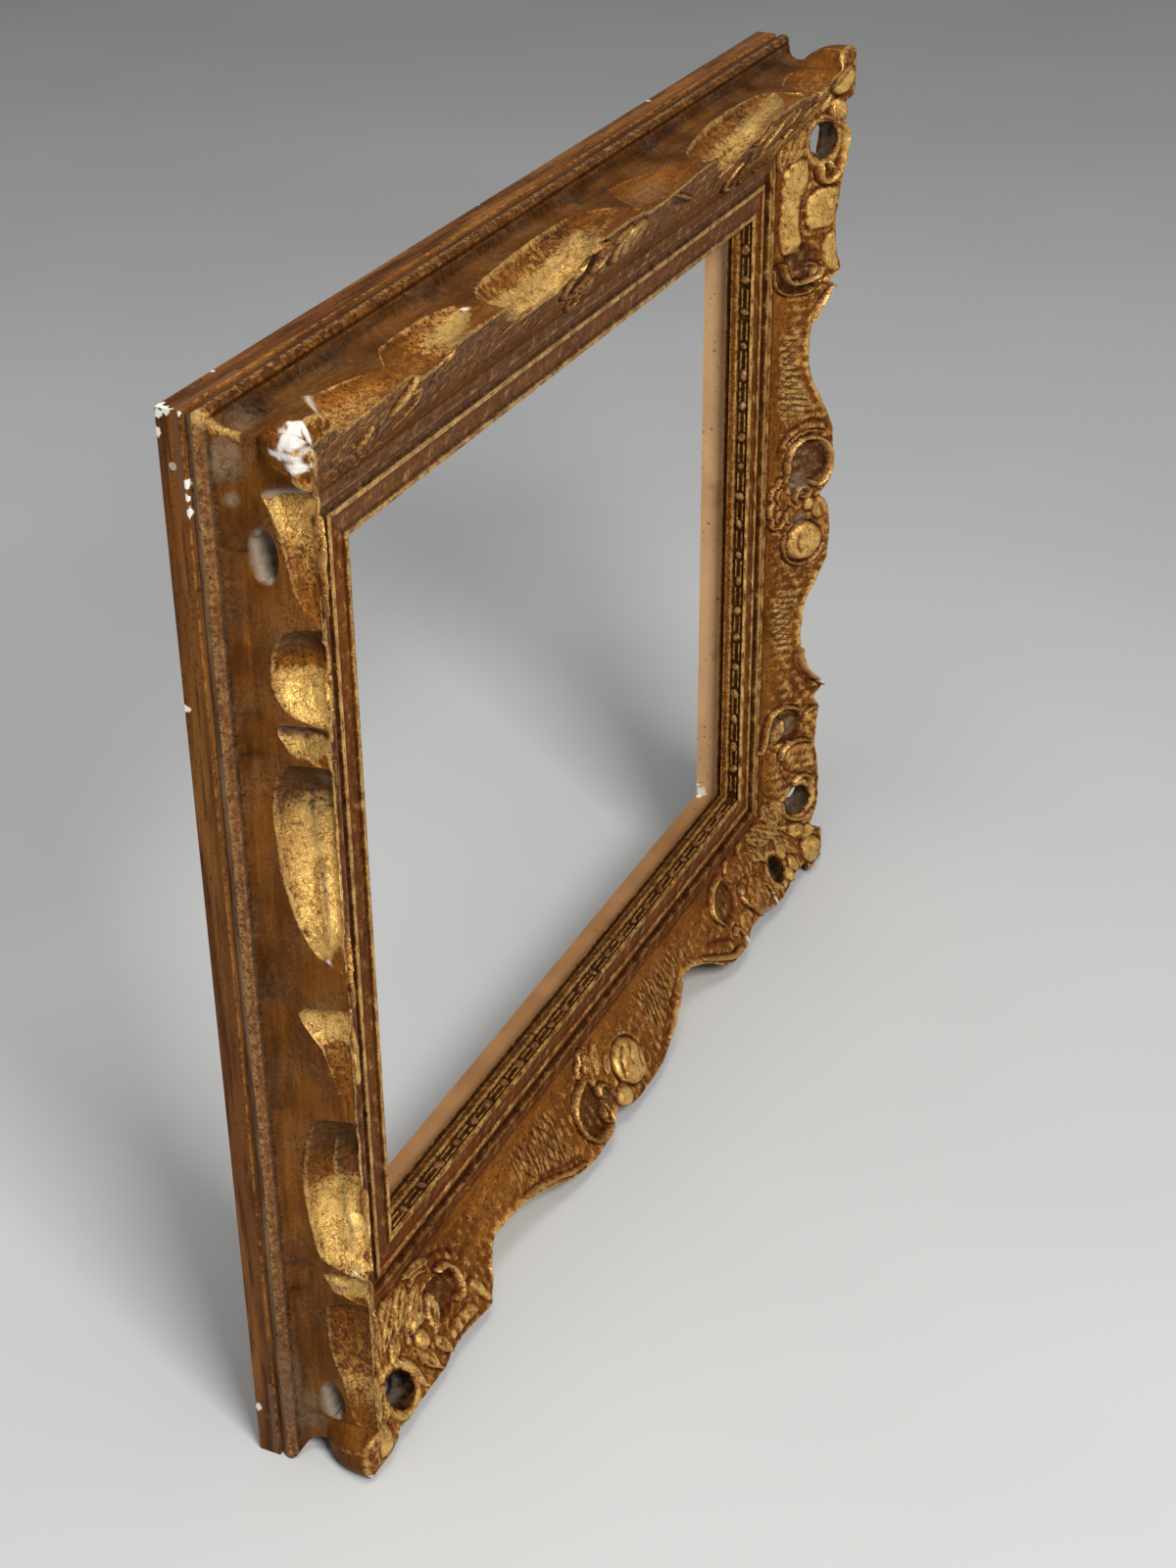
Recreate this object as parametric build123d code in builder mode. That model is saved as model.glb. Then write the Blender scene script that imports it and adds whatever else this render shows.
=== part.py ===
import os
from math import atan, cos, degrees, hypot, sin

from build123d import *

os.makedirs("parts", exist_ok=True)

# Opening that shows the picture, and the width of the rails round it
sight_width = 450
sight_height = 370
rail_width = 81

# Sight moulding of a carved rail: widths outward from the sight edge, one after the other
crest_width = 3.3
red_fillet_width = 9.7
gold_line_width = 2.8
groove_width = 5.6
band_width = 6.9

# Heights of those mouldings above the joint between carved rail and back rail
crest_height = 16.4
red_fillet_height = 15.2
gold_line_height = 16.0
groove_height = 14.6
band_height = 17.4

# Hollow for the bead course in the inner wall
channel_start = 7.4
channel_length = 7.6
channel_depth = 2.0

# Raised outer ridge that carries the ornament
ridge_setback = 8
ridge_width = 4
ridge_height = 44.5

# Cove under the ridge and the astragal at the outer edge
cove_top = 23
cove_height = 13
cove_setback = 10
bead_half = 4
bead_bulge = 2
quirk_width = 2

# Swept hollows in the ridge between the centre and the corner ornaments
sweep_from_corner = 182
sweep_half_length = 46
sweep_depth = 26
sweep_lean = 0.565
sweep_floor = 6

# Notch at the middle of each ridge and the indent beside each corner nose
notch_radius = 8
indent_radius = 4.5
indent_from_corner = 30

# Rounded nose at each outer corner
nose_radius = 15
nose_floor = 22
nose_side_height = 14
nose_cap_height = 11
nose_cap_angle = 28

# Pierced hole near each end of the side and bottom rails, slanting outward and back
pierce_from_corner = 53
pierce_mouth_setback = 24
pierce_mouth_height = 36.5
pierce_exit_setback = 4
pierce_exit_height = 14
pierce_half_length = 8
pierce_half_width = 6
pierce_lead = 8

# Carved C-scrolls and bosses that stand on the sloping panel
scroll_radius = 15
scroll_rim_width = 3.5
scroll_rise = 2.5
scroll_root = 1.5
ornament_up_panel = 27
centre_ornament_offset = 22
corner_scroll_from_corner = 92
corner_boss_from_corner = 72
centre_boss_radius = 11
centre_boss_rise = 5
corner_boss_radius = 6.5
corner_boss_rise = 3

# Pearls in the hollow of the inner wall
pearl_radius = 2.2
pearl_pitch = 18.5

# Softwood back rails; their larger opening makes the rebate, whose ledge is planed a little deeper
back_thickness = 16
rebate_width = 8
ledge_step = 0.5
strip_quirk = 1

# Triangular spline across each mitre of the back rails
spline_leg = 45
spline_thickness = 2.5
spline_depth = 7

# Nails driven through the mitres of the back rails
nail_radius = 0.9
nail_length = 46
nail_head_radius = 1.7
nail_head_height = 0.8
nail_from_corner = 23
nail_from_spline = 0.25
nail_depth_upright = 13.8

# Strap hangers on the upright back rails
hanger_drop = 150
strap_width = 12
strap_length = 32
strap_thickness = 1.0
eye_radius = 2.6
eye_lift = 0.2
ring_wire_radius = 1.3
ring_clearance = 0.05
ring_width = 26
ring_length = 18
ring_bend = 5
strap_screw_upper = 9
strap_screw_lower = 26
strap_screw_radius = 1.6
strap_screw_clearance = 0.15
strap_screw_depth = 11
strap_screw_head_radius = 3.2
strap_screw_head_height = 1.6

# Turn buttons that hold the picture in the rebate
button_from_rebate = 12.5
button_spacing = 225
button_hub_radius = 5
button_tip_radius = 3.5
button_reach = 19
button_thickness = 1.5
button_gap = 0.2
button_screw_radius = 2.0
button_clearance = 0.05
button_screw_depth = 11
button_screw_head_radius = 3.6
button_screw_head_height = 2.0
driver_slot_width = 0.8
driver_slot_depth = 0.8

# Positions that follow from the sizes above
half_width = sight_width / 2
half_height = sight_height / 2
outer_half_width = half_width + rail_width
overall_height = sight_height + 2 * rail_width
centre_height = overall_height / 2

crest_end = crest_width
red_fillet_end = crest_end + red_fillet_width
gold_line_end = red_fillet_end + gold_line_width
groove_end = gold_line_end + groove_width
panel_start = groove_end + band_width
channel_end = channel_start + channel_length
ridge_reach = rail_width - ridge_setback
ridge_inner = ridge_reach - ridge_width
bead_edge = rail_width - bead_bulge
quirk_edge = bead_edge - quirk_width
bead_radius = (bead_half**2 + bead_bulge**2) / (2 * bead_bulge)
bead_angle = 2 * atan(bead_bulge / bead_half)
bead_mid_reach = rail_width - bead_radius * (1 - cos(bead_angle / 2))
bead_mid_height = bead_radius * sin(bead_angle / 2)

sweep_top_radius = (sweep_half_length**2 + sweep_depth**2) / (2 * sweep_depth)
sweep_axis_reach = ridge_reach - sweep_depth + sweep_top_radius
sweep_floor_radius = sweep_top_radius - sweep_lean * (ridge_height - sweep_floor)

panel_run = ridge_inner - panel_start
panel_climb = ridge_height - band_height
panel_length = hypot(panel_run, panel_climb)
centre_boss_sphere = (centre_boss_radius**2 + centre_boss_rise**2) / (2 * centre_boss_rise)
corner_boss_sphere = (corner_boss_radius**2 + corner_boss_rise**2) / (2 * corner_boss_rise)

nose_height = nose_floor + nose_side_height + nose_cap_height
carved_height = max(nose_height, ridge_height)

ring_height = eye_radius + eye_lift
button_head_bottom = button_gap + button_thickness + button_gap
hardware_reach = max(
    ring_height + eye_radius,
    strap_thickness + strap_screw_head_height,
    button_head_bottom + button_screw_head_height,
)
joint_y = (carved_height - back_thickness - hardware_reach) / 2
back_y = joint_y + back_thickness
nail_depth_across = spline_depth + spline_thickness / 2 + nail_from_spline + nail_head_radius

# Each side: direction outward from the opening, middle of the sight edge, half the sight length
forward = Vector(0, -1, 0)
sides = {
    "left": (Vector(-1, 0, 0), Vector(-half_width, joint_y, centre_height), half_height),
    "right": (Vector(1, 0, 0), Vector(half_width, joint_y, centre_height), half_height),
    "top": (Vector(0, 0, 1), Vector(0, joint_y, centre_height + half_height), half_width),
    "bottom": (Vector(0, 0, -1), Vector(0, joint_y, centre_height - half_height), half_width),
}
corners = {
    "top_left": (-1, 1),
    "top_right": (1, 1),
    "bottom_left": (-1, -1),
    "bottom_right": (1, -1),
}


def behind_joint(depth):
    """Plane parallel to the picture, this far behind the joint, with X right and Z up."""
    return Plane(origin=(0, joint_y + depth, 0), x_dir=(1, 0, 0), z_dir=(0, -1, 0))


def corner_point(corner, inset_x, inset_z):
    """X and Z of a point set in from an outer corner of the frame."""
    sign_x, sign_z = corners[corner]
    x = sign_x * (outer_half_width - inset_x)
    z = centre_height + sign_z * (overall_height / 2 - inset_z)
    return x, z


# Carved front rails: one moulded length per side, mitred, with swept ridge, noses and piercings
for side, (outward, middle, half_sight) in sides.items():
    along = outward.cross(forward)
    section = Plane(origin=middle, x_dir=outward, z_dir=along)
    face = Plane(origin=middle, x_dir=along, z_dir=forward)
    half_outer = half_sight + rail_width
    with BuildPart() as carved_rail:
        with BuildSketch(section):
            with BuildLine():
                Line((0, ledge_step), (0, channel_start))
                ThreePointArc(
                    (0, channel_start),
                    (channel_depth, (channel_start + channel_end) / 2),
                    (0, channel_end),
                )
                Polyline(
                    (0, channel_end),
                    (0, crest_height),
                    (crest_end, crest_height),
                    (crest_end, red_fillet_height),
                    (red_fillet_end, red_fillet_height),
                    (red_fillet_end, gold_line_height),
                    (gold_line_end, gold_line_height),
                    (gold_line_end, groove_height),
                    (groove_end, groove_height),
                    (groove_end, band_height),
                    (panel_start, band_height),
                    (ridge_inner, ridge_height),
                    (ridge_reach, ridge_height),
                    (ridge_reach, cove_top),
                )
                ThreePointArc(
                    (ridge_reach, cove_top),
                    (rail_width - cove_setback, cove_height),
                    (quirk_edge, bead_half),
                )
                Line((quirk_edge, bead_half), (bead_edge, bead_half))
                ThreePointArc(
                    (bead_edge, bead_half),
                    (bead_mid_reach, bead_mid_height),
                    (rail_width, 0),
                )
                Polyline(
                    (rail_width, 0),
                    (rebate_width, 0),
                    (rebate_width, ledge_step),
                    (0, ledge_step),
                )
            make_face()
        extrude(amount=half_outer, both=True)

        # Swept hollows lean outward towards the back
        sweep_position = half_outer - sweep_from_corner
        with BuildSketch(face.offset(sweep_floor)):
            with Locations((-sweep_position, sweep_axis_reach), (sweep_position, sweep_axis_reach)):
                Circle(sweep_floor_radius)
        extrude(
            amount=carved_height - sweep_floor,
            taper=-degrees(atan(sweep_lean)),
            mode=Mode.SUBTRACT,
        )

        # Notch between the two centre lobes, and the indents beside the noses
        indent_position = half_outer - indent_from_corner
        with BuildSketch(face.offset(cove_top)):
            with Locations((0, ridge_reach)):
                Circle(notch_radius)
            with Locations((-indent_position, ridge_reach), (indent_position, ridge_reach)):
                Circle(indent_radius)
        extrude(amount=carved_height - cove_top, mode=Mode.SUBTRACT)

        # Noses, centred on the mitres
        nose_position = half_outer - nose_radius
        nose_points = [
            (-nose_position, rail_width - nose_radius),
            (nose_position, rail_width - nose_radius),
        ]
        with BuildSketch(face.offset(nose_floor)):
            with Locations(*nose_points):
                Circle(nose_radius)
        extrude(amount=nose_side_height)
        with BuildSketch(face.offset(nose_floor + nose_side_height)):
            with Locations(*nose_points):
                Circle(nose_radius)
        extrude(amount=nose_cap_height, taper=nose_cap_angle)

        # C-scrolls and bosses on the panel, at the centre and at both ends
        panel_normal = forward * (panel_run / panel_length) - outward * (panel_climb / panel_length)
        panel_foot = middle + outward * panel_start + forward * band_height
        panel = Plane(origin=panel_foot, x_dir=along, z_dir=panel_normal)
        scroll_position = half_outer - corner_scroll_from_corner
        with BuildSketch(panel.offset(-scroll_root)):
            with Locations(
                (-scroll_position, ornament_up_panel),
                (-centre_ornament_offset, ornament_up_panel),
                (scroll_position, ornament_up_panel),
            ):
                Circle(scroll_radius)
                Circle(scroll_radius - scroll_rim_width, mode=Mode.SUBTRACT)
        extrude(amount=scroll_root + scroll_rise)
        with Locations(panel.offset(centre_boss_rise - centre_boss_sphere)):
            with Locations((centre_ornament_offset, ornament_up_panel)):
                Sphere(centre_boss_sphere)
        corner_boss_position = half_outer - corner_boss_from_corner
        with Locations(panel.offset(corner_boss_rise - corner_boss_sphere)):
            with Locations(
                (-corner_boss_position, ornament_up_panel),
                (corner_boss_position, ornament_up_panel),
            ):
                Sphere(corner_boss_sphere)

        # Pearls along the inner wall, half sunk in the hollow
        inner_wall = Plane(origin=middle, x_dir=along, z_dir=-outward)
        pearl_count = int(2 * half_sight / pearl_pitch)
        with Locations(inner_wall.offset(-pearl_radius)):
            with Locations((0, channel_start + channel_length / 2)):
                with GridLocations(pearl_pitch, pearl_pitch, pearl_count, 1):
                    Sphere(pearl_radius)

        # Mitres
        with BuildSketch(face):
            Polygon(
                (-half_sight, 0),
                (half_sight, 0),
                (half_outer, rail_width),
                (-half_outer, rail_width),
                align=None,
            )
        extrude(amount=carved_height, mode=Mode.INTERSECT)

        # Slanted piercings through the ornament; the top rail has none
        pierced_ends = () if side == "top" else (-1, 1)
        pierce_run = pierce_mouth_setback - pierce_exit_setback
        pierce_fall = pierce_mouth_height - pierce_exit_height
        pierce_length = hypot(pierce_run, pierce_fall)
        pierce_axis = outward * (pierce_run / pierce_length) - forward * (pierce_fall / pierce_length)
        for end in pierced_ends:
            mouth = face.from_local_coords(
                Vector(
                    end * (half_outer - pierce_from_corner),
                    rail_width - pierce_mouth_setback,
                    pierce_mouth_height,
                )
            )
            start = mouth - pierce_axis * pierce_lead
            with BuildSketch(Plane(origin=start, x_dir=along, z_dir=pierce_axis)):
                Ellipse(pierce_half_length, pierce_half_width)
            extrude(amount=pierce_lead + pierce_length, mode=Mode.SUBTRACT)
    carved_rail.part.label = f"carved_rail_{side}"
    export_step(carved_rail.part, f"parts/carved_rail_{side}.step")

# Splines: triangular tongues glued into saw cuts across the mitres of the back rails
splines = []
for corner in corners:
    with BuildPart() as corner_spline:
        with BuildSketch(behind_joint(spline_depth)):
            Polygon(
                corner_point(corner, 0, 0),
                corner_point(corner, spline_leg, 0),
                corner_point(corner, 0, spline_leg),
                align=None,
            )
        extrude(amount=spline_thickness / 2, both=True)
    corner_spline.part.label = f"corner_spline_{corner}"
    export_step(corner_spline.part, f"parts/corner_spline_{corner}.step")
    splines.append(corner_spline.part)

# Nails: one across and one upright at each corner, heads flush with the outer sides
with BuildPart() as corner_nails:
    for corner, (sign_x, sign_z) in corners.items():
        across_x, across_z = corner_point(corner, 0, nail_from_corner)
        upright_x, upright_z = corner_point(corner, nail_from_corner, 0)
        across = Plane(
            origin=(across_x, joint_y + nail_depth_across, across_z),
            z_dir=(-sign_x, 0, 0),
        )
        upright = Plane(
            origin=(upright_x, joint_y + nail_depth_upright, upright_z),
            z_dir=(0, 0, -sign_z),
        )
        for nail_plane in (across, upright):
            with BuildSketch(nail_plane):
                Circle(nail_head_radius)
            extrude(amount=nail_head_height)
            with BuildSketch(nail_plane):
                Circle(nail_radius)
            extrude(amount=nail_length)
corner_nails.part.label = "corner_nails"
export_step(corner_nails.part, "parts/corner_nails.step")

# Strap hangers: a plate with a rolled eye, one on each upright back rail
hanger_x = half_width + (rebate_width + rail_width) / 2
eye_z = overall_height - hanger_drop
eye_y = back_y + ring_height
strap_screw_points = []
for side, sign in (("left", -1), ("right", 1)):
    strap_x = sign * hanger_x
    screw_points = [(strap_x, eye_z - strap_screw_upper), (strap_x, eye_z - strap_screw_lower)]
    strap_screw_points.extend(screw_points)
    with BuildPart() as hanger_strap:
        with BuildSketch(behind_joint(back_thickness + strap_thickness)):
            with Locations((strap_x, eye_z - strap_length / 2)):
                Rectangle(strap_width, strap_length)
            with Locations((strap_x, eye_z - strap_length)):
                Circle(strap_width / 2)
            with Locations(*screw_points):
                Circle(strap_screw_radius + strap_screw_clearance, mode=Mode.SUBTRACT)
        extrude(amount=strap_thickness)
        with BuildSketch(Plane(origin=(strap_x, eye_y, eye_z), z_dir=(1, 0, 0))):
            Circle(eye_radius)
        extrude(amount=strap_width / 2, both=True)
        with BuildSketch(Plane(origin=(strap_x, eye_y, eye_z), z_dir=(1, 0, 0))):
            Circle(ring_wire_radius + ring_clearance)
        extrude(amount=strap_width / 2, both=True, mode=Mode.SUBTRACT)
    hanger_strap.part.label = f"hanger_strap_{side}"
    export_step(hanger_strap.part, f"parts/hanger_strap_{side}.step")

    # Wire ring through the eye, hanging down over the strap
    with BuildPart() as hanger_ring:
        with BuildLine(behind_joint(back_thickness + ring_height)) as ring_path:
            FilletPolyline(
                (strap_x - ring_width / 2, eye_z),
                (strap_x + ring_width / 2, eye_z),
                (strap_x + ring_width / 2, eye_z - ring_length),
                (strap_x - ring_width / 2, eye_z - ring_length),
                radius=ring_bend,
                close=True,
            )
        with BuildSketch(Plane(origin=ring_path.line @ 0, z_dir=ring_path.line % 0)):
            Circle(ring_wire_radius)
        sweep(path=ring_path.line)
    hanger_ring.part.label = f"hanger_ring_{side}"
    export_step(hanger_ring.part, f"parts/hanger_ring_{side}.step")

# Screws of the strap hangers
with BuildPart() as hanger_screws:
    with BuildSketch(behind_joint(back_thickness + strap_thickness + strap_screw_head_height)):
        with Locations(*strap_screw_points):
            Circle(strap_screw_head_radius)
    extrude(amount=strap_screw_head_height)
    with BuildSketch(behind_joint(back_thickness + strap_thickness)):
        with Locations(*strap_screw_points):
            Circle(strap_screw_radius)
    extrude(amount=strap_thickness + strap_screw_depth)
    with BuildSketch(behind_joint(back_thickness + strap_thickness + strap_screw_head_height)):
        with Locations(*strap_screw_points):
            Rectangle(2 * strap_screw_head_radius, driver_slot_width)
    extrude(amount=driver_slot_depth, mode=Mode.SUBTRACT)
hanger_screws.part.label = "hanger_screws"
export_step(hanger_screws.part, "parts/hanger_screws.step")

# Turn buttons, parked along the rails: two on each long rail and one on each upright
button_offset = rebate_width + button_from_rebate
button_side_x = half_width + button_offset
button_top_z = centre_height + half_height + button_offset
button_bottom_z = centre_height - half_height - button_offset
button_span = button_reach - button_tip_radius
buttons = {
    "top_left": ((-button_spacing / 2, button_top_z), (1, 0)),
    "top_right": ((button_spacing / 2, button_top_z), (-1, 0)),
    "bottom_left": ((-button_spacing / 2, button_bottom_z), (1, 0)),
    "bottom_right": ((button_spacing / 2, button_bottom_z), (-1, 0)),
    "left": ((-button_side_x, centre_height), (0, -1)),
    "right": ((button_side_x, centre_height), (0, -1)),
}
for place, (pivot, pointing) in buttons.items():
    tip = (pivot[0] + pointing[0] * button_span, pivot[1] + pointing[1] * button_span)
    with BuildPart() as turn_button:
        with BuildSketch(behind_joint(back_thickness + button_gap + button_thickness)):
            with Locations(pivot):
                Circle(button_hub_radius)
            with Locations(tip):
                Circle(button_tip_radius)
            make_hull()
            with Locations(pivot):
                Circle(button_screw_radius + button_clearance, mode=Mode.SUBTRACT)
        extrude(amount=button_thickness)
    turn_button.part.label = f"turn_button_{place}"
    export_step(turn_button.part, f"parts/turn_button_{place}.step")

# Screws that the turn buttons swing on
button_pivots = [pivot for pivot, pointing in buttons.values()]
with BuildPart() as turn_button_screws:
    button_head_top = back_thickness + button_head_bottom + button_screw_head_height
    with BuildSketch(behind_joint(button_head_top)):
        with Locations(*button_pivots):
            Circle(button_screw_head_radius)
    extrude(amount=button_screw_head_height)
    with BuildSketch(behind_joint(back_thickness + button_head_bottom)):
        with Locations(*button_pivots):
            Circle(button_screw_radius)
    extrude(amount=button_head_bottom + button_screw_depth)
    with BuildSketch(behind_joint(button_head_top)):
        with Locations(*button_pivots):
            Rectangle(2 * button_screw_head_radius, driver_slot_width)
    extrude(amount=driver_slot_depth, mode=Mode.SUBTRACT)
turn_button_screws.part.label = "turn_button_screws"
export_step(turn_button_screws.part, "parts/turn_button_screws.step")

# Back rails: flat mitred lengths, with the lower half of the astragal on the outer edge
for side, (outward, middle, half_sight) in sides.items():
    along = outward.cross(forward)
    section = Plane(origin=middle, x_dir=outward, z_dir=along)
    face = Plane(origin=middle, x_dir=along, z_dir=forward)
    half_outer = half_sight + rail_width
    half_rebate = half_sight + rebate_width
    with BuildPart() as back_rail:
        with BuildSketch(section):
            with BuildLine():
                Polyline(
                    (rail_width, 0),
                    (rebate_width, 0),
                    (rebate_width, -back_thickness),
                    (rail_width, -back_thickness),
                    (rail_width, -bead_half - strip_quirk),
                    (bead_edge, -bead_half),
                )
                ThreePointArc(
                    (bead_edge, -bead_half),
                    (bead_mid_reach, -bead_mid_height),
                    (rail_width, 0),
                )
            make_face()
        extrude(amount=half_outer, both=True)
        with BuildSketch(face):
            Polygon(
                (-half_rebate, rebate_width),
                (half_rebate, rebate_width),
                (half_outer, rail_width),
                (-half_outer, rail_width),
                align=None,
            )
        extrude(amount=-back_thickness, mode=Mode.INTERSECT)
        for spline in splines:
            add(spline, mode=Mode.SUBTRACT)
        add(corner_nails.part, mode=Mode.SUBTRACT)
        add(hanger_screws.part, mode=Mode.SUBTRACT)
        add(turn_button_screws.part, mode=Mode.SUBTRACT)
    back_rail.part.label = f"back_rail_{side}"
    export_step(back_rail.part, f"parts/back_rail_{side}.step")
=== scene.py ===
import math

import bpy
import numpy as np
from mathutils import Euler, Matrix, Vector
from mathutils.geometry import tessellate_polygon


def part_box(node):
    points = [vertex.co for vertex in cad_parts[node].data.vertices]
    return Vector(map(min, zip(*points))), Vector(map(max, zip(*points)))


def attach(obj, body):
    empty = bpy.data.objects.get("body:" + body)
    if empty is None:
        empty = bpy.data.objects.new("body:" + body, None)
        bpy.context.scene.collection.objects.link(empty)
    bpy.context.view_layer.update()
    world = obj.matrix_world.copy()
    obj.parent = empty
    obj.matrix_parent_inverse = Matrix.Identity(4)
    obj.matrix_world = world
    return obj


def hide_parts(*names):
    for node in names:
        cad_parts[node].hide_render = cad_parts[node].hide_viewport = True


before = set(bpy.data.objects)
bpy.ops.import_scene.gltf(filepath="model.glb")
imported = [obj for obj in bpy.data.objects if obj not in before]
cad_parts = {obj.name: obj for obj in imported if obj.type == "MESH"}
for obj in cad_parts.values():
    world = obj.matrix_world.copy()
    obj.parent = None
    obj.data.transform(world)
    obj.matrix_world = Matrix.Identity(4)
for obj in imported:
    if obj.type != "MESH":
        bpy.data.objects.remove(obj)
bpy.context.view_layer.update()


# Back rails: four flat softwood lengths, mitred and splined, that stiffen the frame and form the rebate.
# Outer edges are toned to match the gilding, rebate walls washed in ochre, and backs left raw.
outward_of = {"left": (-1, 0, 0), "right": (1, 0, 0), "top": (0, 0, 1), "bottom": (0, 0, -1)}
# Light and dark of the ochre wash, and of the dusty half bead next to the carved rail. The wash is
# lighter on the right rail as painted light and darker on the bottom rail as painted shade; the bead is
# darker on the top rail.
rebate_wash_lit_and_shaded = {"left": ((176, 136, 96), (154, 116, 78)), "right": ((206, 162, 116), (184, 142, 100)),
               "top": ((176, 136, 96), (154, 116, 78)), "bottom": ((160, 116, 74), (140, 99, 60))}
half_bead_tones = {"left": ((132, 100, 70), (84, 54, 30)), "right": ((132, 100, 70), (84, 54, 30)),
              "top": ((84, 50, 27), (50, 28, 14)), "bottom": ((132, 100, 70), (84, 54, 30))}
# Knocks that bare the white gesso: places across, behind the joint and up, with their radii.
knocks = {
    "left": [(-306, 5, 491, 1.8), (-306, 5.4, 497, 1.5), (-306, 5, 502.5, 2.2), (-306, 15.5, 404.5, 1.8),
             (-306, 15, 27, 2.0), (-306, 15.4, 523, 2.2), (-306, 15, 529, 2.4), (-306, 11, 532, 2.0),
             (-306, 6, 532, 1.6), (-306, 15.8, 214, 1.1)],
    "top": [(-306, 13, 532, 2.6), (-303, 15.8, 532, 2.0), (-306, 8, 532, 1.8), (-266, 15.9, 532, 1.0),
            (-40, 15.9, 532, 0.9), (150, 15.9, 532, 1.1)],
    "right": [(233, 12.5, 75.5, 3.6), (233, 14, 80, 1.6)],
    "bottom": [(231, 13, 73, 2.4)],
}


def srgb(red, green, blue):
    """A colour given as 0 to 255 screen values, as the linear colour that a shader takes."""
    linear = []
    for value in (red, green, blue):
        share = value / 255
        linear.append(share / 12.92 if share <= 0.04045 else ((share + 0.055) / 1.055) ** 2.4)
    return (*linear, 1.0)


class Finish:
    """A node material with short calls for the nodes that the finishes here are mixed from."""

    def __init__(self, name):
        self.material = bpy.data.materials.new(name)
        self.material.use_nodes = True
        self.tree = self.material.node_tree
        self.shader = self.tree.nodes["Principled BSDF"]
        self.place = self.add("TexCoord").outputs["Object"]

    def add(self, kind, inputs=None, **settings):
        made = self.tree.nodes.new("ShaderNode" + kind)
        for key, value in settings.items():
            setattr(made, key, value)
        for key, value in (inputs or {}).items():
            self.plug(value, made.inputs[key])
        return made

    def plug(self, value, socket):
        if isinstance(value, bpy.types.NodeSocket):
            self.tree.links.new(value, socket)
        else:
            socket.default_value = value

    def noise(self, size, detail=4.0, rough=0.55, stretch=None, warp=0.0, where=None):
        """Cloudy noise from 0 to 1, with patches about that many millimetres across."""
        where = self.place if where is None else where
        if stretch:
            where = self.add("Mapping", {"Vector": where, "Scale": stretch}).outputs["Vector"]
        inputs = {"Vector": where, "Scale": 1000 / size, "Detail": detail, "Roughness": rough,
                  "Distortion": warp}
        return self.add("TexNoise", inputs).outputs["Fac"]

    def gap(self, surface, place):
        """How far the surface is from a place, in metres."""
        inputs = {0: surface.outputs["Position"], 1: place}
        return self.add("VectorMath", inputs, operation="DISTANCE").outputs["Value"]

    def band(self, value, low, high, floor=0.0, top=1.0):
        """Value run from low to high, as floor to top."""
        inputs = {"Value": value, "From Min": low, "From Max": high, "To Min": floor, "To Max": top}
        return self.add("MapRange", inputs).outputs["Result"]

    def calc(self, what, first, second):
        return self.add("Math", {0: first, 1: second}, operation=what).outputs[0]

    def times(self, first, *others):
        for other in others:
            first = self.calc("MULTIPLY", first, other)
        return first

    def mix(self, share, under, over):
        """One colour laid over another. Colours are node outputs or 0 to 255 screen values."""
        under, over = (srgb(*tint) if isinstance(tint, tuple) else tint for tint in (under, over))
        inputs = {0: share, 6: under, 7: over}
        return self.add("Mix", inputs, data_type="RGBA").outputs[2]

    def mark(self, name):
        return self.add("Attribute", attribute_name=name).outputs["Fac"]

    def shade(self, values):
        """Sets or feeds the shader's own sockets."""
        for name, value in values.items():
            self.plug(value, self.shader.inputs[name])

    def relief(self, height, depth, strength=1.0):
        """Fine surface relief, with its depth in millimetres."""
        inputs = {"Height": height, "Distance": depth / 1000, "Strength": strength}
        self.shade({"Normal": self.add("Bump", inputs).outputs["Normal"]})


def coat(node, material):
    """Gives a solid piece its finish."""
    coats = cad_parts[node].data.materials
    coats.clear()
    coats.append(material)


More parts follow.
